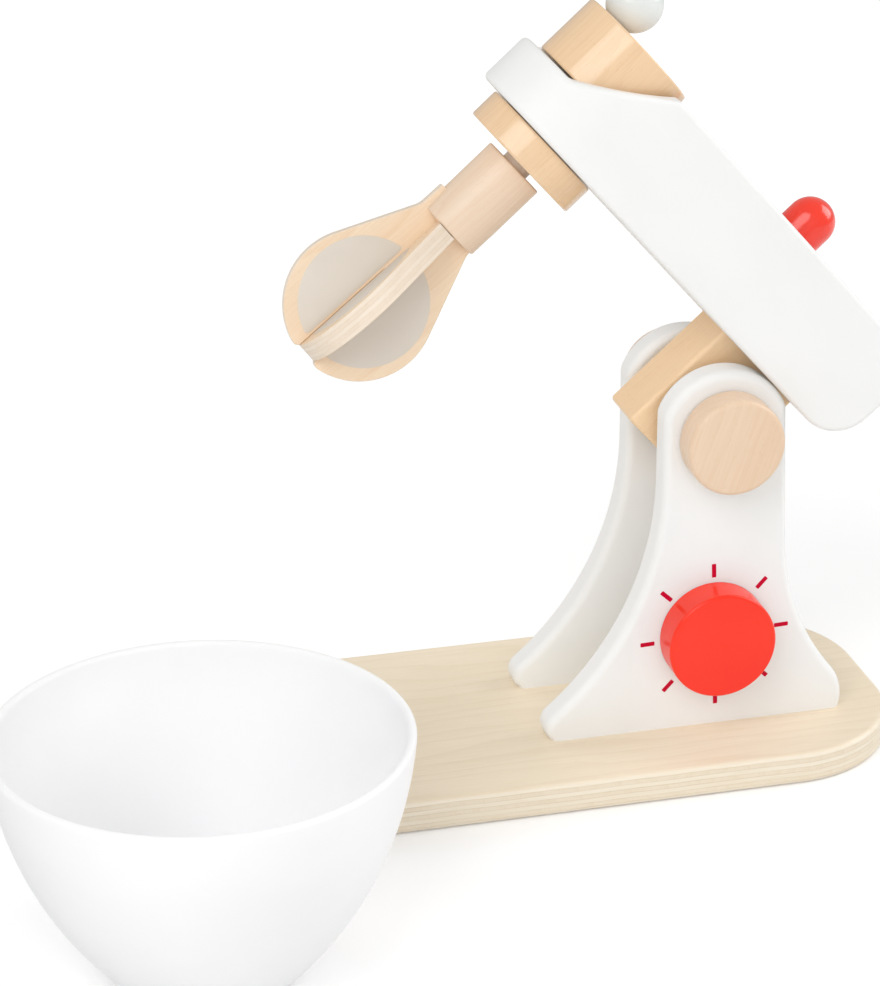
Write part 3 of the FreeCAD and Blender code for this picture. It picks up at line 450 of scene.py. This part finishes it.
@dataclass(frozen=True)
class Finish:
    """What every finish has: a name and the frame that its pattern follows.

    Patterns are sized in millimetres, and relief is the height of their bumps in metres.
    """

    name: str
    place: Matrix

    def build(self, effects: Effects) -> bpy.types.Material:
        """Make the material.

        Args:
            effects: The shared effects.

        Returns:
            The finished material.
        """
        material, w = blank_material(self.name)
        self.wire(w, effects)
        return material

    def wire(self, w: Wiring, effects: Effects) -> None:
        """Add the finish's own nodes to a material without any.

        Args:
            w: The material's wiring.
            effects: The shared effects.
        """
        raise NotImplementedError

    def millimetres(self, w: Wiring) -> bpy.types.NodeSocket:
        """Read where the surface is.

        Args:
            w: The material's wiring.

        Returns:
            Its coordinates in the pattern's own frame, in millimetres.
        """
        inward = self.place.inverted()
        inputs = {
            "Vector": w.add("TexCoord").outputs["Object"],
            "Location": tuple(inward.to_translation() * PER_METRE),
            "Rotation": tuple(inward.to_euler("XYZ")),
            "Scale": (PER_METRE,) * 3,
        }
        return w.add("Mapping", inputs).outputs["Vector"]

    def facing(self, w: Wiring) -> bpy.types.NodeSocket:
        """Read which way the surface faces.

        Args:
            w: The material's wiring.

        Returns:
            Its normal in the pattern's own frame.
        """
        inputs = {
            "Vector": w.add("TexCoord").outputs["Normal"],
            "Rotation": tuple(self.place.inverted().to_euler("XYZ")),
        }
        return w.add("Mapping", inputs, vector_type="VECTOR").outputs["Vector"]

    def close(self, w: Wiring, **inputs: Feed) -> None:
        """Add the surface shader and the material's output.

        Args:
            w: The material's wiring.
            inputs: What feeds the shader's inputs, whose names have _ for each space.
        """
        named = {name.replace("_", " "): value for name, value in inputs.items()}
        shader = w.add("BsdfPrincipled", named)
        w.add("OutputMaterial", {"Surface": shader.outputs[0]})


@dataclass(frozen=True)
class LacqueredWood(Finish):
    """Sanded hardwood under a thin clear lacquer."""

    pale: Rgb = (240, 214, 187)
    dark: Rgb = (216, 174, 132)
    ring_width: float = 2.8
    rings: float = 0.22
    fibres: float = 0.24
    flecks: float = 0.22
    gloss: Span = (0.34, 0.46)
    relief: float = 0.00005
    specular: float = 0.5
    coat: float = 0.0
    coat_gloss: float = 0.07

    def wire(self, w: Wiring, effects: Effects) -> None:
        """Wire grained wood and its lacquer.

        Args:
            w: The material's wiring.
            effects: The shared effects.
        """
        grain = w.group(
            effects.grain,
            Vector=self.millimetres(w),
            Ring_Width=self.ring_width,
            Rings=self.rings,
            Fibres=self.fibres,
            Flecks=self.flecks,
        ).outputs
        self.close(
            w,
            Base_Color=w.mix(grain["Tone"], linear(self.pale), linear(self.dark)),
            Roughness=w.remap(grain["Tone"], (0.0, 1.0), self.gloss),
            Normal=w.bump(grain["Height"], self.relief),
            Specular_IOR_Level=self.specular,
            Coat_Weight=self.coat,
            Coat_Roughness=self.coat_gloss,
        )


@dataclass(frozen=True)
class Plywood(Finish):
    """Birch veneers glued crosswise along the pattern's Z, sanded and lacquered."""

    ply: float = 1.7
    plies: int = 7
    pale: Rgb = (241, 227, 203)
    dark: Rgb = (214, 190, 155)
    edge_pale: Rgb = (243, 233, 214)
    edge_dark: Rgb = (224, 205, 175)
    glue: Rgb = (204, 176, 140)
    glue_share: float = 0.45
    grain: float = 1.0
    end_grain: float = 0.45
    gloss: Span = (0.42, 0.56)
    relief: float = 0.00005

    def wire(self, w: Wiring, effects: Effects) -> None:
        """Wire veneers and the glue between them.

        Args:
            w: The material's wiring.
            effects: The shared effects.
        """
        layers = w.group(
            effects.layers,
            Vector=self.millimetres(w),
            Normal=self.facing(w),
            Ply=self.ply,
            Plies=float(self.plies),
            Grain=self.grain,
            End_Grain=self.end_grain,
        ).outputs
        face = w.mix(layers["Tone"], linear(self.pale), linear(self.dark))
        edge = w.mix(layers["Tone"], linear(self.edge_pale), linear(self.edge_dark))
        wood = w.mix(layers["Edge"], face, edge)
        glue = w.math("MULTIPLY", layers["Glue"], self.glue_share)
        self.close(
            w,
            Base_Color=w.mix(glue, wood, linear(self.glue)),
            Roughness=w.remap(layers["Tone"], (0.0, 1.0), self.gloss),
            Normal=w.bump(layers["Height"], self.relief),
        )


@dataclass(frozen=True)
class PaintedWood(Finish):
    """Sprayed paint on wood, from satin to glossy."""

    colour: Rgb = (242, 242, 241)
    patch: Rgb = (239, 239, 237)
    gloss: Span = (0.44, 0.52)
    peel: float = 0.5
    grain: float = 0.35
    relief: float = 0.00006
    specular: float = 0.5
    coat: float = 0.0
    coat_gloss: float = 0.08
    bleed: float = 1.0
    bounce: Rgb = (190, 152, 144)  # the colour that it sheds for the rest

    def wire(self, w: Wiring, effects: Effects) -> None:
        """Wire paint that sheds only its bleed's share of colour on its neighbours.

        Args:
            w: The material's wiring.
            effects: The shared effects.
        """
        skin = w.group(
            effects.paint, Vector=self.millimetres(w), Peel=self.peel, Grain=self.grain
        ).outputs
        colour = w.mix(skin["Patch"], linear(self.colour), linear(self.patch))
        if self.bleed < 1.0:
            bounced = w.add("LightPath").outputs["Is Diffuse Ray"]
            held_back = w.math("MULTIPLY", bounced, 1.0 - self.bleed)
            colour = w.mix(held_back, colour, linear(self.bounce))
        self.close(
            w,
            Base_Color=colour,
            Roughness=w.remap(skin["Patch"], (0.0, 1.0), self.gloss),
            Normal=w.bump(skin["Height"], self.relief),
            Specular_IOR_Level=self.specular,
            Coat_Weight=self.coat,
            Coat_Roughness=self.coat_gloss,
        )


@dataclass(frozen=True)
class ZincSteel(Finish):
    """Zinc plated steel of small screws, with faint turning marks round the pattern's Z."""

    bright: Rgb = (205, 206, 208)
    dull: Rgb = (150, 151, 150)
    turning: float = 46.0  # radians of the marks' wave to a millimetre
    turning_height: float = 0.3
    gloss: Span = (0.26, 0.44)
    relief: float = 0.00001

    def wire(self, w: Wiring, effects: Effects) -> None:
        """Wire blotched zinc and its turning marks.

        Args:
            w: The material's wiring.
            effects: The shared effects.
        """
        place = self.millimetres(w)
        blotch = w.noise(place, scale=(1.4, 1.4, 1.4), detail=4.0)
        from_axis = w.length(w.scaled(place, (1.0, 1.0, 0.0)))
        lines = w.math("SINE", w.math("MULTIPLY", from_axis, self.turning))
        height = w.math("MULTIPLY_ADD", lines, self.turning_height, blotch)
        self.close(
            w,
            Base_Color=w.mix(blotch, linear(self.bright), linear(self.dull)),
            Roughness=w.remap(blotch, (0.3, 0.7), self.gloss),
            Normal=w.bump(height, self.relief),
            Metallic=1.0,
        )


# ---- meshes ------------------------------------------------------------------------------------


def sharp_edges(mesh: bmesh.types.BMesh, angle: float) -> list[bmesh.types.BMEdge]:
    """Return the edges whose two faces meet at more than an angle in radians."""
    return [e for e in mesh.edges if len(e.link_faces) == 2 and e.calc_face_angle() > angle]


def level_edges(edges: Iterable[bmesh.types.BMEdge], height: float) -> list[bmesh.types.BMEdge]:
    """Return the edges that lie at a height."""
    return [e for e in edges if all(abs(v.co.z - height) < SAME_HEIGHT for v in e.verts)]


def upright_edges(mesh: bmesh.types.BMesh) -> list[bmesh.types.BMEdge]:
    """Return the edges that stand along Z."""
    return [e for e in mesh.edges if (e.verts[0].co - e.verts[1].co).xy.length < WELD]


def round_off(
    mesh: bmesh.types.BMesh,
    edges: Iterable[bmesh.types.BMEdge],
    radius: float,
    segments: int = 4,
) -> None:
    """Bevel edges into a round.

    Args:
        mesh: The mesh.
        edges: Its edges to round off.
        radius: The round's radius in metres.
        segments: How many faces go over it.
    """
    bmesh.ops.bevel(
        mesh,
        geom=list(edges),
        offset=radius,
        offset_type="OFFSET",
        affect="EDGES",
        segments=segments,
        profile=0.5,
        material=-1,
        clamp_overlap=True,
    )


def spun(outline: Iterable[Span], steps: int = 128) -> bmesh.types.BMesh:
    """Turn an outline about Z into a closed body.

    Args:
        outline: Points (radius, height) from the axis back to the axis.
        steps: How many faces go round.

    Returns:
        The new mesh.
    """
    mesh = bmesh.new()
    points = [mesh.verts.new((radius, 0.0, height)) for radius, height in outline]
    edges = [mesh.edges.new(pair) for pair in zip(points, points[1:])]
    bmesh.ops.spin(
        mesh,
        geom=[*points, *edges],
        cent=(0, 0, 0),
        axis=AXIS_Z,
        angle=math.tau,
        steps=steps,
        use_merge=True,
    )
    bmesh.ops.remove_doubles(mesh, verts=mesh.verts, dist=WELD)
    bmesh.ops.recalc_face_normals(mesh, faces=mesh.faces)
    return mesh


def arc(centre: Span, radius: float, start: float, end: float, steps: int = 40) -> list[Span]:
    """Return points on a round stretch of an outline.

    Args:
        centre: The centre's distance from the axis, and its height.
        radius: The round's radius.
        start: The first point's direction, in radians from outwards.
        end: The last point's direction.
        steps: How many lines the stretch has.

    Returns:
        The points, both ends among them.
    """
    turns = (start + (end - start) * step / steps for step in range(steps + 1))
    return [(centre[0] + radius * math.cos(t), centre[1] + radius * math.sin(t)) for t in turns]


@dataclass
class SubAssembly:
    """Pieces that are built and dressed together."""

    places: Places
    effects: Effects

    def build(self) -> None:
        """Build and dress every piece."""
        raise NotImplementedError

    def dress(self, node: str, finish: Finish) -> None:
        """Give a carried-over solid its finish.

        Args:
            node: The solid's name.
            finish: The finish, whose material is built for it.
        """
        materials = frame["nodes"][node].data.materials
        materials.clear()
        materials.append(finish.build(self.effects))
        LOG.info("dressed %s as %s", node, finish.name)

    def add(
        self,
        name: str,
        mesh: bmesh.types.BMesh,
        place: Matrix,
        body: Body,
        slot: Slot,
        finish: Finish,
        replaces: Iterable[str] = (),
    ) -> None:
        """Make a piece from a mesh; its object stays at the origin.

        Args:
            name: The piece's name.
            mesh: Its mesh in its own frame, which is freed.
            place: That frame.
            body: The body that it rides on.
            slot: The finish in the parts list; not used.
            finish: The finish that it is dressed in.
            replaces: The solids that it stands for.
        """
        bmesh.ops.transform(mesh, matrix=place, verts=mesh.verts)
        for face in mesh.faces:
            face.smooth = True
        data = bpy.data.meshes.new(name)
        mesh.to_mesh(data)
        mesh.free()
        data.set_sharp_from_angle(angle=CREASE)
        data.materials.append(finish.build(self.effects))
        piece = bpy.data.objects.new(name, data)
        bpy.context.scene.collection.objects.link(piece)
        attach(piece, body.value)
        if replaces:
            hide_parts(*replaces)
        LOG.info("built %s with %d faces", name, len(data.polygons))


# ---- the mixer ---------------------------------------------------------------------------------


@dataclass
class Stand(SubAssembly):
    """The plywood base, the two painted uprights and the screws that hold them."""

    base_thickness: float = 12.0  # millimetres
    base_plies: int = 7

    def build(self) -> None:
        """Dress the base, the uprights and their screws."""
        ply = self.base_thickness / self.base_plies
        layers = {"ply": ply, "plies": self.base_plies, "grain": 0.6, "end_grain": 0.3}
        self.dress("base_board", Plywood("base_birch_ply", Matrix(), **layers))
        upward = axes(Vector((0, 0, 0)), AXIS_Z, AXIS_Y)
        self.dress("left_upright", PaintedWood("left_upright_white", upward))
        self.dress("right_upright", PaintedWood("right_upright_white", upward))
        self.dress("upright_screws", ZincSteel("upright_screw_zinc", Matrix()))


@dataclass
class Pivot(SubAssembly):
    """The hinge block between the uprights, with its dowels, washers and end caps."""

    cap_grain_angle: float = math.radians(72)
    cap_grain_shift: Triple = (11.0 * MM, 4.0 * MM, 31.0 * MM)

    def build(self) -> None:
        """Dress the block, the dowels, the washers and the caps."""
        origin = self.places.arm.to_translation()
        up = self.places.arm.to_3x3() @ AXIS_Z
        block = axes(origin, up, AXIS_Y)
        beech = {"pale": (241, 209, 169), "dark": (217, 168, 116), "rings": 0.14, "fibres": 0.16}
        self.dress("hinge_block", LacqueredWood("hinge_block_beech", block, **beech))
        self.dress("block_dowels", LacqueredWood("block_dowel_beech", block))
        self.dress("pivot_dowel", LacqueredWood("pivot_dowel_beech", axes(origin, AXIS_Y, AXIS_Z)))
        grain = Vector((math.cos(self.cap_grain_angle), 0, math.sin(self.cap_grain_angle)))
        looks = {"pale": (234, 207, 180), "ring_width": 5.2, "rings": 0.14, "fibres": 0.18}
        x, y, z = self.cap_grain_shift
        for side, reach in (("left", -1.0), ("right", 1.0)):
            cap = axes(origin + Vector((x * reach, y, z * reach)), grain, AXIS_Y)
            self.dress(f"{side}_pivot_cap", LacqueredWood(f"{side}_cap_beech", cap, **looks))
            self.dress(f"{side}_pivot_washer", LacqueredWood(f"{side}_washer_beech", cap))


@dataclass
class Arm(SubAssembly):
    """The painted arm and its start button."""

    def build(self) -> None:
        """Dress the arm and the button."""
        self.dress("arm_beam", PaintedWood("arm_white", self.places.arm))
        self.dress(
            "start_button",
            PaintedWood(
                "button_red",
                self.places.arm,
                colour=(246, 61, 39),
                patch=(240, 53, 33),
                gloss=(0.16, 0.22),
                relief=0.00002,
                coat=0.4,
            ),
        )


@dataclass
class Crank(SubAssembly):
    """The drum with its knob above the arm, and the shaft and collar that it turns."""

    def build(self) -> None:
        """Dress the painted knob and what is turned from beech."""
        shaft = self.places.crank.to_3x3() @ AXIS_Z
        upward = axes(self.places.crank.to_translation(), shaft, AXIS_Y)
        polish = {"gloss": (0.15, 0.19), "coat": 0.22, "relief": 0.00001, "rings": 0.14}
        drum = {"pale": (239, 206, 167), "dark": (218, 173, 126), "ring_width": 3.6}
        self.dress("crank_drum", LacqueredWood("drum_beech", upward, **drum, **polish))
        collar = {"pale": (235, 203, 165), "dark": (215, 170, 127), "ring_width": 3.2}
        self.dress("drive_collar", LacqueredWood("collar_beech", upward, **collar, **polish))
        self.dress("drive_shaft", LacqueredWood("shaft_beech", upward))
        self.dress("crank_knob_peg", LacqueredWood("knob_peg_beech", upward))
        self.dress(
            "crank_knob",
            PaintedWood(
                "knob_grey",
                upward,
                colour=(229, 232, 230),
                patch=(224, 227, 224),
                gloss=(0.18, 0.24),
                relief=0.00003,
            ),
        )


@dataclass
class Whisk(SubAssembly):
    """The chuck with its stem, and two crossed plywood blades with painted fields."""

    mouth_below_arm: float = 20.4 * MM
    turn: float = math.radians(-14.8)
    shift: float = 1.6 * MM
    lean: float = math.radians(2.3)
    side_lean: float = math.radians(-4.1)
    blade_thickness: float = 7.5 * MM
    front_field_centre: float = 38.1 * MM
    cross_field_centre: float = 36.4 * MM
    field_radius: float = 22.9 * MM
    field_inset: float = 4.8 * MM
    field_corner: float = 2.6 * MM
    field_segments: int = 96
    paint_thickness: float = 0.12 * MM
    paint_edge: float = 0.05 * MM
    rim_bend: float = math.radians(60)  # the paint's rim bends by more than this
    grain_shift: float = 30.0 * MM
    ply: float = 1.5  # millimetres
    plies: int = 5

    def blade_place(self) -> Matrix:
        """Find where the blades stand.

        Returns:
            Their frame at the chuck's mouth, with Z up the shaft.
        """
        mouth = Matrix.Translation((0, 0, -self.mouth_below_arm))
        turned = Matrix.Rotation(self.turn, 4, "Z") @ Matrix.Translation((-self.shift, 0, 0))
        leant = Matrix.Rotation(self.lean, 4, "Y") @ Matrix.Rotation(self.side_lean, 4, "X")
        return self.places.crank @ mouth @ turned @ leant

    def painted_fields(self, depth: float) -> bmesh.types.BMesh:
        """Make the four painted half discs of one blade.

        Args:
            depth: How far below the chuck's mouth their middle is.

        Returns:
            The mesh, for a blade that lies in the XZ plane.
        """
        mesh = bmesh.new()
        for side in (1.0, -1.0):
            for face in (1.0, -1.0):
                self.add_field(mesh, depth, side, face)
        bmesh.ops.recalc_face_normals(mesh, faces=mesh.faces)
        return mesh

    def add_field(self, mesh: bmesh.types.BMesh, depth: float, side: float, face: float) -> None:
        """Add one painted half disc.

        Args:
            mesh: Where it goes.
            depth: How far below the chuck's mouth its middle is.
            side: 1 or -1, the side of the slot.
            face: 1 or -1, the face of the blade.
        """
        one = self.half_disc()
        upright = Matrix.Rotation(math.radians(90), 4, "X")
        place = Matrix.Translation((0, -face * self.blade_thickness / 2, -depth)) @ upright
        if face < 0:
            place = place @ Matrix.Rotation(math.pi, 4, "Y")
        if side * face < 0:
            place = place @ Matrix.Rotation(math.pi, 4, "Z")
        bmesh.ops.transform(one, matrix=place, verts=one.verts)
        scratch = bpy.data.meshes.new("field")
        one.to_mesh(scratch)
        one.free()
        mesh.from_mesh(scratch)
        bpy.data.meshes.remove(scratch)

    def half_disc(self) -> bmesh.types.BMesh:
        """Make one painted half disc.

        Returns:
            The mesh, which rises from the XY plane and is cut off square to the X axis.
        """
        one = bmesh.new()
        bmesh.ops.create_circle(
            one, cap_ends=True, radius=self.field_radius, segments=self.field_segments
        )
        cut = bmesh.ops.bisect_plane(
            one,
            geom=[*one.verts, *one.edges, *one.faces],
            plane_co=(self.field_inset, 0, 0),
            plane_no=AXIS_X,
            clear_inner=True,
        )
        corners = [v for v in cut["geom_cut"] if isinstance(v, bmesh.types.BMVert)]
        bmesh.ops.bevel(
            one,
            geom=corners,
            offset=self.field_corner,
            offset_type="OFFSET",
            affect="VERTICES",
            segments=6,
            profile=0.5,
            material=-1,
        )
        raised = bmesh.ops.extrude_face_region(one, geom=list(one.faces))
        lifted = [v for v in raised["geom"] if isinstance(v, bmesh.types.BMVert)]
        bmesh.ops.translate(one, verts=lifted, vec=(0, 0, self.paint_thickness))
        bmesh.ops.recalc_face_normals(one, faces=one.faces)
        rim = [e for e in sharp_edges(one, self.rim_bend) if all(v in lifted for v in e.verts)]
        round_off(one, rim, self.paint_edge, segments=2)
        return one

    def build(self) -> None:
        """Dress the chuck, the stem and the blades, and paint the blades' fields."""
        shaft = self.places.crank.to_3x3() @ AXIS_Z
        start = self.places.crank.to_translation() + AXIS_Y * self.grain_shift
        upward = axes(start, shaft, AXIS_Y)
        chuck = LacqueredWood("chuck_beech", upward, pale=(233, 210, 186), dark=(220, 185, 151))
        self.dress("whisk_chuck", chuck)
        # The stem's beech is set much paler than the other beech: painted light that lifts the
        # shade it sits in between the collar and the chuck.
        stem = LacqueredWood("stem_beech_painted_light", upward, pale=(252, 236, 218), dark=(240, 214, 184))
        self.dress("whisk_stem", stem)
        blade = self.blade_place()
        middle = Matrix.Translation((0, 0, -self.blade_thickness / 2))
        standing = blade @ Matrix((AXIS_Z, AXIS_X, AXIS_Y)).transposed().to_4x4()
        crossing = blade @ Matrix((AXIS_Z, -AXIS_Y, AXIS_X)).transposed().to_4x4()
        paint = {
            "colour": (222, 213, 201),
            "patch": (216, 206, 193),
            "gloss": (0.42, 0.52),
            "grain": 0.8,
            "relief": 0.00005,
        }
        quarter = Matrix.Rotation(math.radians(90), 4, "Z")
        blades = (
            ("front", standing, blade, self.front_field_centre),
            ("cross", crossing, blade @ quarter, self.cross_field_centre),
        )
        for side, stack, place, depth in blades:
            wood = Plywood(
                f"{side}_blade_ply",
                stack @ middle,
                ply=self.ply,
                plies=self.plies,
                pale=(242, 219, 191),
                dark=(227, 190, 148),
                edge_pale=(242, 228, 211),
                edge_dark=(232, 214, 191),
                glue_share=0.3,
                glue=(215, 191, 160),
            )
            self.dress(f"{side}_whisk_blade", wood)
            finish = PaintedWood(f"{side}_blade_grey", standing, **paint)
            self.add(
                f"{side}_blade_paint",
                self.painted_fields(depth),
                place,
                Body.WHISK,
                Slot.BLADE_PLYWOOD,
                finish,
            )


@dataclass
class Dial(SubAssembly):
    """The red dial, its screw and washer, and the marks printed round it."""

    printed_on: str = "right_upright"
    marks: int = 8
    mark_inner: float = 22.8 * MM
    mark_outer: float = 28.1 * MM
    mark_width: float = 1.6 * MM
    mark_turn: float = math.radians(2.2)
    mark_shift: Span = (0.8 * MM, -0.9 * MM)
    ink_thickness: float = 0.08 * MM
    ink_corner: float = 0.3 * MM

    def build(self) -> None:
        """Dress the dial and print its marks on the upright."""
        self.dress(
            "dial_knob",
            PaintedWood(
                "dial_red",
                self.places.dial,
                colour=(252, 47, 13),
                patch=(248, 41, 10),
                gloss=(0.29, 0.35),
                relief=0.00002,
                bleed=0.35,
            ),
        )
        self.dress("dial_screw", ZincSteel("dial_screw_zinc", self.places.dial))
        self.dress("dial_washer", ZincSteel("dial_washer_zinc", self.places.dial))
        self.add(
            "dial_marks",
            self.printed_marks(),
            self.marks_place(),
            Body.ROOT,
            Slot.RED_PAINT,
            PaintedWood(
                "mark_crimson",
                self.places.dial,
                colour=(203, 0, 50),
                patch=(196, 0, 45),
                gloss=(0.42, 0.50),
                relief=0.00002,
                specular=0.1,
            ),
        )

    def marks_place(self) -> Matrix:
        """Find where the marks are printed.

        Returns:
            The ring's frame on the upright's outer face, a little off the dial's screw.
        """
        place = self.places.dial.copy()
        place.translation.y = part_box(self.printed_on)[0].y
        shifted = place @ Matrix.Translation((*self.mark_shift, 0))
        return shifted @ Matrix.Rotation(self.mark_turn, 4, "Z")

    def printed_marks(self) -> bmesh.types.BMesh:
        """Make the ring of printed marks.

        Returns:
            The mesh, raised by the ink's thickness.
        """
        mesh = bmesh.new()
        reach = self.mark_outer - self.mark_inner
        middle = (self.mark_outer + self.mark_inner) / 2
        for mark in range(self.marks):
            turn = Matrix.Rotation(math.tau * mark / self.marks, 4, "Z")
            size = Matrix.Diagonal((reach, self.mark_width, self.ink_thickness, 1.0))
            lift = Matrix.Translation((middle, 0, self.ink_thickness / 2))
            bmesh.ops.create_cube(mesh, size=1.0, matrix=turn @ lift @ size)
        round_off(mesh, upright_edges(mesh), self.ink_corner)
        return mesh


@dataclass
class Bowl(SubAssembly):
    """The loose white bowl."""

    rim_radius: float = 68.48 * MM
    foot_radius: float = 30.0 * MM
    height: float = 84.0 * MM
    wall_radius: float = 134.0 * MM
    wall: float = 3.0 * MM
    floor: float = 4.0 * MM
    floor_round: float = 8.0 * MM
    foot_edge: float = 1.0 * MM
    rim_edge: float = 1.4 * MM
    foot_recess: float = 0.8 * MM
    foot_ring: float = 4.0 * MM
    corner_bend: float = math.radians(28)  # what is rounded off bends by more than this

    def wall_centre(self) -> Span:
        """Find the round that the wall follows.

        Returns:
            Its centre, as distance from the axis and height.
        """
        run, rise = self.rim_radius - self.foot_radius, self.height
        chord = math.hypot(run, rise)
        inward = math.sqrt(self.wall_radius**2 - (chord / 2) ** 2)
        middle = (self.foot_radius + run / 2, rise / 2)
        return (middle[0] - rise / chord * inward, middle[1] + run / chord * inward)

    def shell(self) -> bmesh.types.BMesh:
        """Turn the bowl from its outline.

        Returns:
            The mesh.
        """
        across, up = self.wall_centre()
        inner = self.wall_radius - self.wall
        foot, rim = (math.asin((z - up) / self.wall_radius) for z in (0.0, self.height))
        floor, mouth = (math.asin((z - up) / inner) for z in (self.floor, self.height))
        recess, rise = self.foot_radius - self.foot_ring, self.foot_recess
        outline = [(0.0, rise), (recess - rise, rise), (recess, 0.0)]
        outline += arc((across, up), self.wall_radius, foot, rim)
        outline += arc((across, up), inner, mouth, floor)
        outline.append((0.0, self.floor))
        mesh = spun(outline)
        rounds = (
            (self.floor, self.floor_round, 8),
            (self.height, self.rim_edge, 4),
            (0.0, self.foot_edge, 3),
        )
        for height, radius, segments in rounds:
            corner = level_edges(sharp_edges(mesh, self.corner_bend), height)
            round_off(mesh, corner, radius, segments)
        return mesh

    def build(self) -> None:
        """Build the bowl."""
        finish = PaintedWood(
            "bowl_matt_white",
            self.places.bowl,
            colour=(247, 247, 247),
            patch=(245, 245, 246),
            gloss=(0.5, 0.58),
            grain=0.0,
            peel=0.4,
            relief=0.00003,
        )
        self.add(
            "bowl_shell",
            self.shell(),
            self.places.bowl,
            Body.BOWL,
            Slot.BOWL_WHITE,
            finish,
            replaces=["mixing_bowl"],
        )


# ---- studio ------------------------------------------------------------------------------------


@dataclass(frozen=True)
class Softbox:
    """A square lamp that points at the mixer."""

    name: str
    place: Triple
    width: float
    power: float
    mirrored: bool = True  # whether reflections show it

    def build(self, aim: Vector) -> None:
        """Hang the lamp.

        Args:
            aim: The point that it faces.
        """
        lamp = bpy.data.lights.new(self.name, "AREA")
        lamp.shape = "SQUARE"
        lamp.size = self.width
        lamp.energy = self.power
        holder = bpy.data.objects.new(self.name, lamp)
        holder.visible_glossy = self.mirrored
        holder.location = self.place
        holder.rotation_mode = "QUATERNION"
        holder.rotation_quaternion = (aim - Vector(self.place)).to_track_quat("-Z", "Y")
        bpy.context.scene.collection.objects.link(holder)


@dataclass
class Studio:
    """The white floor, the soft lamps, the world and the camera."""

    aim: Vector = field(default_factory=lambda: Vector((-0.097291, 0.0, 0.102345)))
    azimuth: float = math.radians(13.99)
    elevation: float = math.radians(23.073)
    roll: float = math.radians(-0.29)
    distance: float = 1.107557
    lens: float = 113.33
    sensor: float = 36.0
    floor_radius: float = 14.0
    floor_drop: float = 0.2 * MM
    floor_grey: float = 0.86
    floor_near: float = 0.3
    floor_far: float = 0.9
    floor_glow: Span = (0.185, 0.34)
    floor_end: float = 3.0
    floor_end_glow: float = 0.40
    fill: float = 0.5
    lamps: tuple[Softbox, ...] = (
        Softbox("key_softbox", (-0.95, -0.95, 1.25), 1.05, 10.1),
        Softbox("front_softbox", (-0.1, -1.6, 0.9), 1.2, 4.5, mirrored=False),
        Softbox("low_softbox", (-0.3, -1.6, 0.3), 0.8, 2.0, mirrored=False),
        Softbox("right_softbox", (1.4, 0.0, 0.9), 1.0, 11.0),
        Softbox("back_softbox", (-0.8, 1.2, 1.0), 1.0, 5.2, mirrored=False),
    )

    def build(self) -> None:
        """Set up the floor, the light and the camera."""
        self.build_floor()
        self.build_world()
        for lamp in self.lamps:
            lamp.build(self.aim)
        self.build_camera()
        bpy.context.scene.view_settings.view_transform = "Standard"

    def build_floor(self) -> None:
        """Lay a floor that shows the mixer's shadow and grows white further out."""
        mesh = bmesh.new()
        bmesh.ops.create_circle(mesh, cap_ends=True, radius=self.floor_radius, segments=64)
        data = bpy.data.meshes.new("floor")
        mesh.to_mesh(data)
        mesh.free()
        material, w = blank_material("floor_white")
        grey = self.floor_grey
        card = w.add("BsdfDiffuse", {"Color": (grey, grey, grey, 1.0)})
        seen = w.add("LightPath").outputs["Is Camera Ray"]
        away = w.length(w.add("TexCoord").outputs["Object"])
        near = w.remap(away, (self.floor_near, self.floor_far), self.floor_glow)
        far = w.remap(away, (self.floor_far, self.floor_end), (0.0, self.floor_end_glow))
        strength = w.math("MULTIPLY", seen, w.math("ADD", near, far))
        glow = w.add("Emission", {"Color": WHITE, "Strength": strength})
        both = w.add("AddShader", {0: card.outputs[0], 1: glow.outputs[0]})
        w.add("OutputMaterial", {"Surface": both.outputs[0]})
        data.materials.append(material)
        floor = bpy.data.objects.new("floor", data)
        floor.location.z = -self.floor_drop
        bpy.context.scene.collection.objects.link(floor)

    def build_world(self) -> None:
        """Surround the set with soft light, white where it is seen."""
        world = bpy.data.worlds.new("studio")
        world.use_nodes = True
        world.node_tree.nodes.clear()
        w = Wiring(world.node_tree)
        path = w.add("LightPath").outputs
        seen = w.math("MAXIMUM", path["Is Camera Ray"], path["Is Transmission Ray"])
        strength = w.math("MULTIPLY_ADD", seen, 1.0 - self.fill, self.fill)
        sky = w.add("Background", {"Color": WHITE, "Strength": strength})
        w.add("OutputWorld", {"Surface": sky.outputs[0]})
        bpy.context.scene.world = world

    def build_camera(self) -> None:
        """Stand the camera on its tripod and make it the scene's."""
        level = Vector((math.sin(self.azimuth), math.cos(self.azimuth), 0.0))
        back = AXIS_Z * math.sin(self.elevation) - level * math.cos(self.elevation)
        right = Vector((level.y, -level.x, 0.0))
        up = back.cross(right)
        tilted_right = right * math.cos(self.roll) + up * math.sin(self.roll)
        turn = Matrix((tilted_right, back.cross(tilted_right), back)).transposed()
        lens = bpy.data.cameras.new("camera")
        lens.lens, lens.sensor_width = self.lens, self.sensor
        camera = bpy.data.objects.new("camera", lens)
        camera.matrix_world = Matrix.Translation(self.aim + back * self.distance) @ turn.to_4x4()
        bpy.context.scene.collection.objects.link(camera)
        bpy.context.scene.camera = camera


def main() -> None:
    """Build every sub-assembly, then the studio around the mixer."""
    logging.basicConfig(level=logging.INFO, format="%(name)s: %(message)s")
    places, effects = Places.from_joints(frame["joints"]), Effects()
    for assembly in (Stand, Pivot, Arm, Crank, Whisk, Dial, Bowl):
        LOG.info("building the %s", assembly.__name__.lower())
        assembly(places, effects).build()
    Studio().build()


if __name__ == "__main__":
    main()
